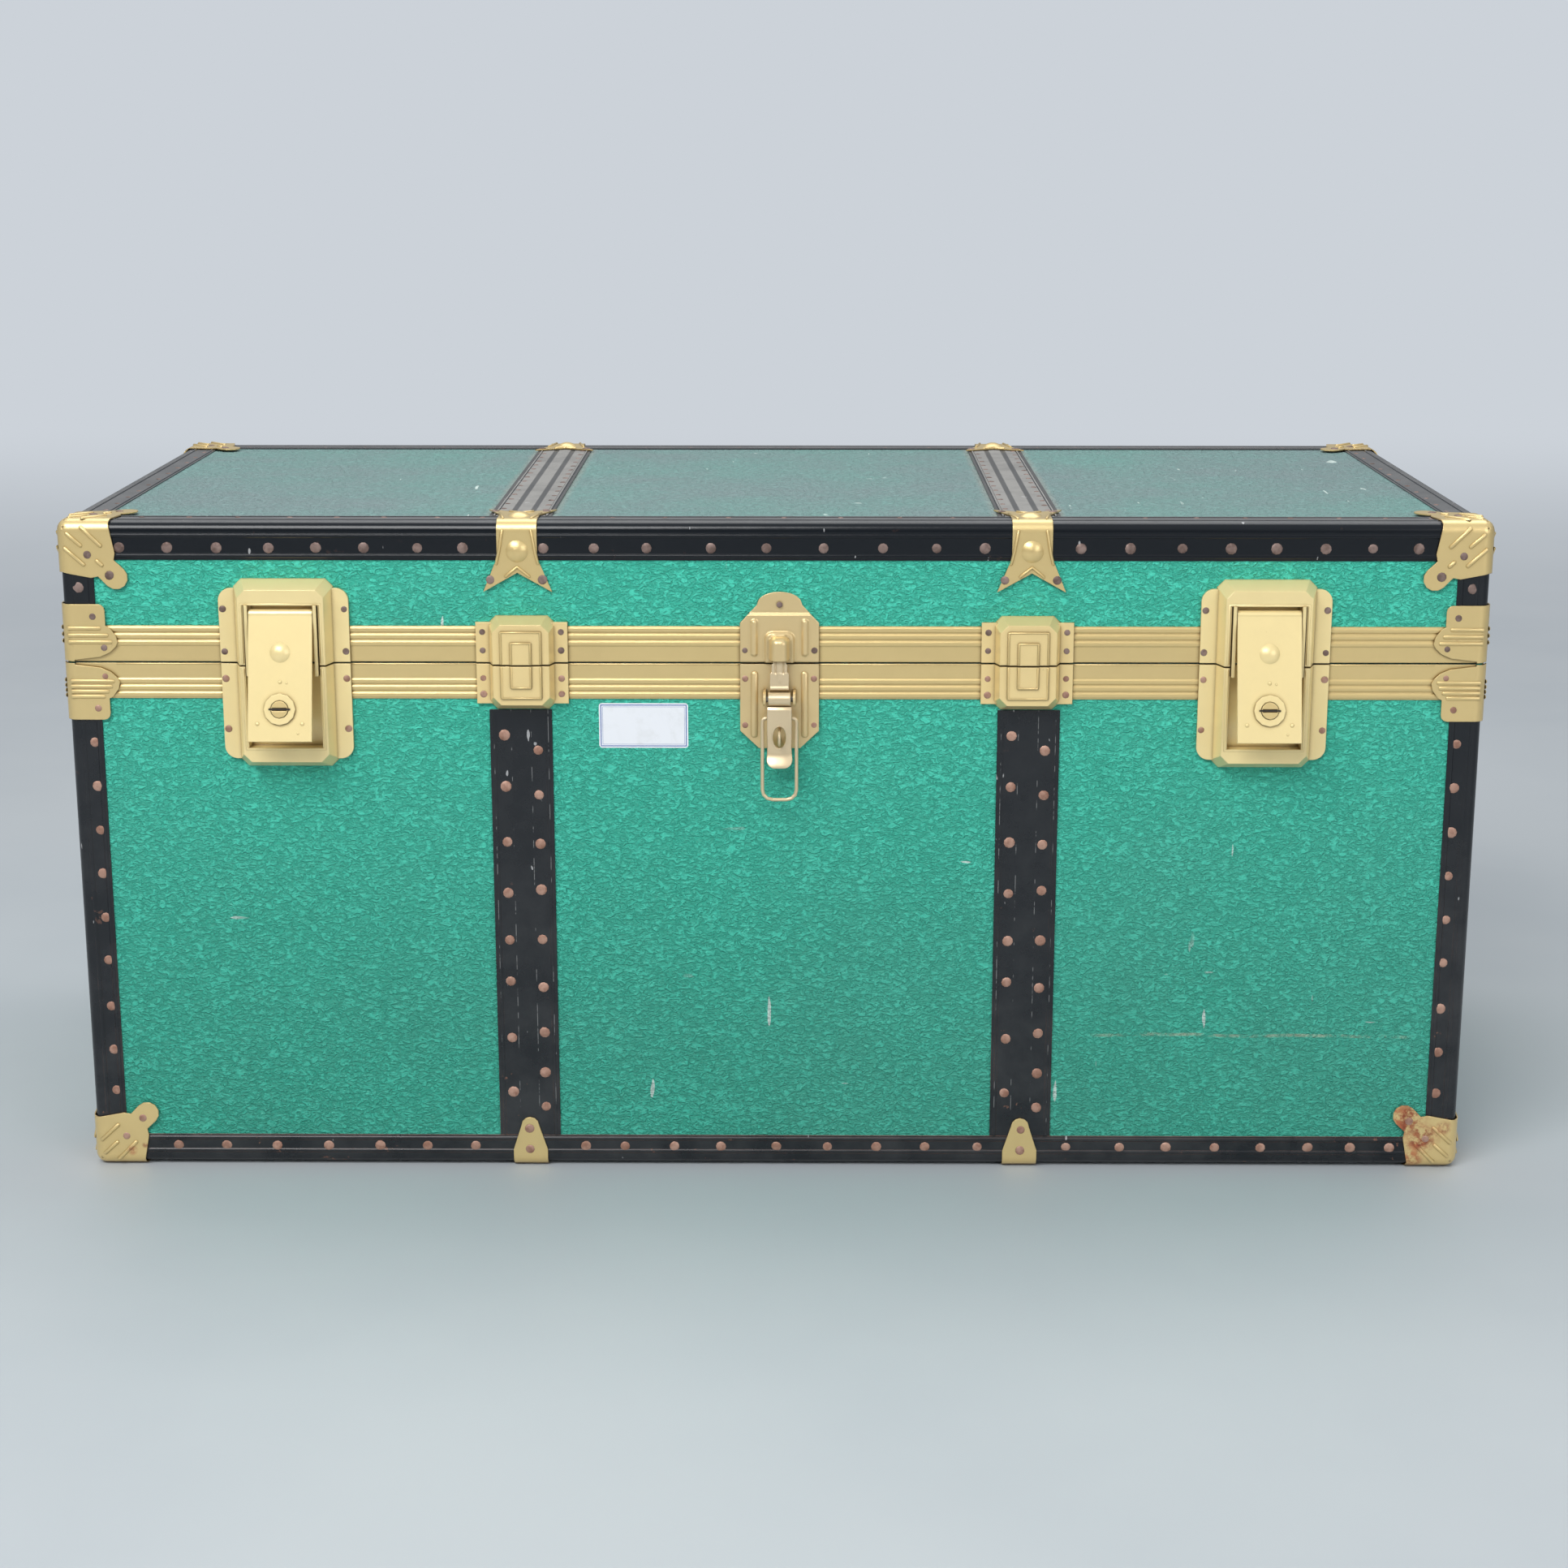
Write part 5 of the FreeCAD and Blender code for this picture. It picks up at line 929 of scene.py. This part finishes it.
def labelPaper():
    look = labelLook
    r = Recipe("label_paper")
    insets = []
    for name, low, high in (("X", look["left"], look["right"]), ("Z", look["low"], look["high"])):
        insets.append(r.less((high - low) / 2, r.size(r.less(r.axis(name), (low + high) / 2))))
    inset = r.plus(r.math("MINIMUM", *insets), r.times(r.noise(700.0, 3.0, 0.6), 0.0003))
    outer = r.times(r.spread(inset, 0.0011, 0.0013), r.spread(inset, 0.0018, 0.0020, 1.0, 0.0))
    inner = r.times(r.spread(inset, 0.0026, 0.0027), r.spread(inset, 0.0029, 0.0030, 1.0, 0.0), 0.7)
    age = r.cut((90.0, 5.0, 0.6), 0.45, 0.75, 0.0, 0.35)
    base = r.over(r.mix(age, look["paper"], look["aged"]), look["ink"], r.most(outer, inner))
    return r.finish(base, 0.62, Normal=r.bump(r.noise(60.0, 3.0, 0.5), 0.3, 0.0006))


materials["label_paper"] = labelPaper()


def buildLabel():
    left, right, low, high, radius = [labelLook[key] for key in ("left", "right", "low", "high", "round")]
    outline = []
    for x, z, start in ((right - radius, high - radius, 0), (left + radius, high - radius, 90),
                        (left + radius, low + radius, 180), (right - radius, low + radius, 270)):
        for step in range(6):
            angle = math.radians(start + 18 * step)
            outline.append((x + radius * math.cos(angle), z + radius * math.sin(angle)))
    rings = [[(x, frontFace - out, z) for x, z in outline] for out in (labelLook["thick"], 0.00002)]
    slab("address_label", "case", "lining_paper", "label_paper", *rings)


# Part of the hasp pressed from thin sheet: a grid of places with the front towards -Y, then given a thickness.
def pressedSheet(name, replaced, body, metal, levels, steps, widthAt, outAt, thickness, eye=None, also=None):
    work = bmesh.new()
    front, back = [], []
    for z in levels:
        across = [widthAt(z) * (k / steps) for k in range(-steps, steps + 1)]
        places = [(x, outAt(x, z)) for x in across]
        front.append([work.verts.new((haspX + x, frontFace - out, z)) for x, out in places])
        back.append([work.verts.new((haspX + x, frontFace - out + thickness, z)) for x, out in places])
    kept = [(i, k) for i in range(len(levels) - 1) for k in range(2 * steps)
            if not (eye and insideEye(eye, front[i][k].co, front[i + 1][k + 1].co))]
    cells = set(kept)
    for i, k in kept:
        work.faces.new((front[i][k], front[i][k + 1], front[i + 1][k + 1], front[i + 1][k]))
        work.faces.new((back[i][k], back[i + 1][k], back[i + 1][k + 1], back[i][k + 1]))
        for beside, (a, b), (c, d) in (((i - 1, k), (i, k + 1), (i, k)), ((i + 1, k), (i + 1, k), (i + 1, k + 1)),
                                       ((i, k - 1), (i, k), (i + 1, k)), ((i, k + 1), (i + 1, k + 1), (i, k + 1))):
            if beside not in cells:
                work.faces.new((front[a][b], front[c][d], back[c][d], back[a][b]))
    if eye:
        roundEye(eye, cells, front, back)
    bmesh.ops.delete(work, geom=[v for v in work.verts if not v.link_faces], context="VERTS")
    if also:
        also(work)
    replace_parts(finishPiece(name, work, body, metal), replaced)


def insideEye(eye, low, high):
    x = (low.x + high.x) / 2 - haspX
    z = (low.z + high.z) / 2 - eye["z"]
    return (x / eye["half"]) ** 2 + (z / eye["rise"]) ** 2 < 1


# The grid's corners round the eye are drawn out to a true oval.
def roundEye(eye, cells, front, back):
    for i in range(1, len(front) - 1):
        for k in range(1, len(front[0]) - 1):
            beside = [(i - a, k - b) in cells for a in (0, 1) for b in (0, 1)]
            if all(beside) or not any(beside):
                continue
            x = front[i][k].co.x - haspX
            z = front[i][k].co.z - eye["z"]
            reach = math.sqrt((x / eye["half"]) ** 2 + (z / eye["rise"]) ** 2)
            for vert in (front[i][k], back[i][k]):
                vert.co.x = haspX + x / reach
                vert.co.z = eye["z"] + z / reach


def smoothStep(value, low, high):
    share = min(1.0, max(0.0, (value - low) / (high - low)))
    return share * share * (3 - 2 * share)


# How high a round crown stands at a share of its half width: one in the middle, nothing at its edge.
def crown(share):
    return math.sqrt(max(0.0, 1 - share * share))


# Heights round an arch from its foot to its top, closer together towards the top.
def archLevels(foot, rise, steps, first=0):
    return [foot + rise * math.sin(math.pi / 2 * k / steps) for k in range(first, steps + 1)]


# The lid plate: straight sides, shoulders, then an arch; two ribs, a raised panel and a nose over the link.
lidPlate = {"half": 0.0277, "shoulder": 0.4056, "arch": 0.4190, "archHalf": 0.0150, "archRise": 0.0084,
            "out": 0.0028, "step": 0.0014, "rib": 0.0178, "ribLow": 0.3845, "ribHigh": 0.4060, "ribHalf": 0.0024,
            "ribOut": 0.0020, "panelOut": 0.0022, "noseOut": 0.0095, "noseHalf": 0.0060, "noseLow": 0.3804}


def lidPlateHalf(z):
    look = lidPlate
    if z < look["shoulder"]:
        return look["half"]
    if z < look["arch"]:
        return look["half"] - 0.0127 * (z - look["shoulder"]) / 0.0134
    return look["archHalf"] * crown((z - look["arch"]) / look["archRise"]) + 0.0004


def lidPlateOut(x, z):
    look = lidPlate
    out = look["out"] - look["step"] * smoothStep(z, 0.4110, 0.4128)
    for side in (-1, 1):
        along = max(0.0, look["ribLow"] - z, z - look["ribHigh"])
        out += look["ribOut"] * crown(math.hypot(x - side * look["rib"], along) / look["ribHalf"])
    corner = math.hypot(max(0.0, abs(x) - 0.0052), max(0.0, z - 0.3942))
    out += look["panelOut"] * (1 - smoothStep(corner, 0.0040, 0.0056))
    nose = math.hypot(max(0.0, abs(x) - 0.0016), max(0.0, z - 0.3918)) / look["noseHalf"]
    if nose < 1 and z > look["noseLow"]:
        out += look["noseOut"] * (1 - nose ** 2.3) ** 0.55
    return out


def buildHaspLid():
    levels = [0.3778, 0.3790, 0.38035, 0.38045] + [0.3810 + 0.0007 * k for k in range(54)]
    levels += archLevels(lidPlate["arch"], lidPlate["archRise"], 9, 1)
    pressedSheet("hasp_lid_pressing", "hasp_lid_plate", "lid", "hasp_gold", levels, 36, lidPlateHalf, lidPlateOut,
                 0.0011)


# The lever: a bright barrel round its pin, then a crowned strap with an oval eye and a flared end.
lever = {"pivot": 0.3535, "barrel": 0.0050, "barrelHalf": 0.0078, "barrelOut": 0.0128, "barrelLow": 0.3484,
         "half": 0.0086, "out": 0.0160, "most": 0.01785, "end": 0.3110, "endRise": 0.0063}
leverEye = {"z": 0.3265, "half": 0.0045, "rise": 0.0078}


def leverHalf(z):
    if z > lever["barrelLow"]:
        return lever["barrelHalf"]
    flare = 0.0006 * (1 - smoothStep(z, 0.3080, 0.3170))
    tip = min(1.0, max(0.0, lever["end"] - z) / lever["endRise"])
    return (lever["half"] + flare) * (0.36 + 0.64 * crown(tip))


def leverOut(x, z):
    if z > lever["barrelLow"]:
        return lever["barrelOut"] + lever["barrel"] * crown((z - lever["pivot"]) / lever["barrel"])
    body = lever["out"] + 0.0011 * smoothStep(lever["barrelLow"] - z, 0.0, 0.0022)
    sweep = -0.0030 * smoothStep(0.3380 - z, 0.0, 0.0200)
    tip = 0.0037 * (1 - smoothStep(z, 0.3040, 0.3150))
    fall = -0.0008 * (abs(x) / 0.0090) ** 2.4
    away = math.hypot(x / leverEye["half"], (z - leverEye["z"]) / leverEye["rise"])
    lip = 0.0005 * max(0.0, 1 - abs(away - 1.12) / 0.16)
    return min(lever["most"], body + sweep + tip + fall + lip)


# The block behind the strap that holds the wire loop.
def leverBlock(work):
    centre = Vector((haspX, frontFace - 0.0146, 0.3401))
    made = bmesh.ops.create_cube(work, size=1.0)["verts"]
    for vert in made:
        vert.co = centre + Vector((vert.co.x * 0.0100, vert.co.y * 0.0036, vert.co.z * 0.0044))
    edges = list({edge for vert in made for edge in vert.link_edges})
    bmesh.ops.bevel(work, geom=edges, offset=0.0006, segments=2, affect="EDGES")


def buildLever():
    levels = [z for z in archLevels(lever["pivot"], lever["barrel"], 12, -11) if z > 0.34845]
    levels += [0.34845, 0.34835] + [0.3481 - 0.0005 * k for k in range(74)]
    levels += archLevels(lever["end"], -lever["endRise"], 12)
    pressedSheet("hasp_lever_pressing", "hasp_lever", "hasp_lever", "lever_bronze", sorted(set(levels)), 18,
                 leverHalf, leverOut, 0.0011, leverEye, leverBlock)


# The link: a flat strap rolled over at its lower end, with a narrow grooved neck under the nose.
def linkHalf(z):
    return 0.0066 - 0.0011 * smoothStep(z, 0.3712, 0.3724) - 0.0010 * smoothStep(z, 0.3775, 0.3785)


def linkOut(x, z):
    out = 0.0120 - 0.0003 * smoothStep(z, 0.3712, 0.3724)
    roll = (z - 0.3608) / 0.0021
    if abs(roll) < 1:
        out = max(out, 0.0106 + 0.0022 * crown(roll))
    ridge = 0.0005 * max(0.0, 1 - (abs(x) / 0.0016) ** 2) * smoothStep(z, 0.3640, 0.3660)
    groove = 0.0006 * max(0.0, 1 - (abs(abs(x) - 0.0027) / 0.0008) ** 2) * smoothStep(z, 0.3705, 0.3715)
    return out + ridge - groove


def buildLink():
    levels = [0.3588 + 0.0003 * k for k in range(92)]
    pressedSheet("hasp_link_pressing", "hasp_link", "hasp_link", "lever_bronze", levels, 24, linkHalf, linkOut,
                 0.0010)


lidRivetsMore, caseRivetsMore = haspDetail()
lidRivetsBack, caseRivetsBack = hardwareDetail()
keySlotShadows()
flapDetail()
buildLabel()
buildHaspLid()
buildLever()
buildLink()
head = nailHead()
nailTree, nailInlet = headTree(head)
lidHeads = lidNails() + lidPressings() + lidRivetsMore + lidRivetsBack
caseHeads = caseNails() + casePressings() + caseRivetsMore + caseRivetsBack
placeHeads("case_nail_heads", "case", caseHeads, "case_nails", 5)
placeHeads("lid_nail_heads", "lid", lidHeads, "lid_nails", 11)
bpy.data.objects.remove(head)


# A pale floor that runs out of sight, soft lights, and a camera fitted to the photograph.
studio = {"floor": (186, 191, 194), "floorCloud": (178, 184, 188), "sky": (204, 210, 217), "skyLight": 0.55}


def paleFloor():
    r = Recipe("studio_floor")
    cloud = r.noise(1.6, 4.0, 0.55)
    base = r.mix(r.spread(cloud, 0.35, 0.7), studio["floor"], studio["floorCloud"])
    floor = r.shader(base, r.spread(cloud, 0.3, 0.7, 0.55, 0.65), Normal=r.bump(r.noise(500.0, 2.0), 0.05, 0.0004))
    glow = r.add("Emission", Color=colour(*studio["sky"]), Strength=1.0).outputs["Emission"]
    away = r.add("VectorMath", {"operation": "LENGTH"}, (r.place,)).outputs["Value"]
    far = r.most(r.spread(r.axis("Y"), 0.7, 4.5), r.spread(away, 2.5, 8.0))
    return r.close(r.blend(r.times(far, r.add("LightPath").outputs["Is Camera Ray"]), floor, glow))


def buildFloor():
    work = bmesh.new()
    work.faces.new([work.verts.new((x, y, 0.0)) for x, y in ((-14, -9), (14, -9), (14, 26), (-14, 26))])
    floor = makeObject("floor", work, smooth=False)
    floor.data.materials.append(paleFloor())


lights = {
    "key": {"place": (-1.3, -2.6, 2.9), "target": (0.0, 0.0, 0.2), "size": (2.6, 1.6), "power": 106.0},
    "fill": {"place": (2.2, -2.8, 1.5), "target": (0.0, 0.0, 0.25), "size": (1.8, 1.8), "power": 26.0},
    "top": {"place": (0.2, 0.9, 3.0), "target": (0.0, 0.0, 0.3), "size": (3.4, 1.6), "power": 44.0},
}


def areaLight(name, light):
    data = bpy.data.lights.new(name, "AREA")
    data.shape = "RECTANGLE"
    data.size, data.size_y = light["size"]
    data.energy = light["power"]
    lamp = addObject(name, data)
    lamp.location = light["place"]
    lamp.rotation_euler = (Vector(light["target"]) - Vector(light["place"])).to_track_quat("-Z", "Y").to_euler()


# The camera sees the sky at full strength, gloss sees it brighter overhead, and it lights the rest softly.
def buildSky():
    world = bpy.data.worlds.new("studio")
    bpy.context.scene.world = world
    world.use_nodes = True
    t = Tree(world.node_tree)
    up = t.add("SeparateXYZ", Vector=t.add("TexCoord").outputs["Generated"]).outputs["Z"]
    strengths = studio["skyLight"], t.spread(up, 0.0, 0.95, 0.36, 0.95), 1.0
    lit, mirrored, seen = [t.add("Background", Color=colour(*studio["sky"]), Strength=strength).outputs[0]
                           for strength in strengths]
    path = t.add("LightPath").outputs
    sky = t.blend(path["Is Camera Ray"], t.blend(path["Is Glossy Ray"], lit, mirrored), seen)
    t.add("OutputWorld", Surface=sky)


cameraFit = {"lens": 63.0, "place": (0.0201, -2.0978, 0.7596), "tilt": 76.018, "turn": 0.409}


def buildCamera():
    data = bpy.data.cameras.new("camera")
    data.sensor_width = 36.0
    data.lens = cameraFit["lens"]
    data.clip_start = 0.05
    data.clip_end = 60.0
    camera = addObject("camera", data)
    camera.location = cameraFit["place"]
    camera.rotation_euler = (math.radians(cameraFit["tilt"]), 0.0, math.radians(cameraFit["turn"]))
    bpy.context.scene.camera = camera


buildFloor()
for name, light in lights.items():
    areaLight(name, light)
buildSky()
buildCamera()
bpy.context.scene.view_settings.view_transform = "Standard"
print("studio ready")
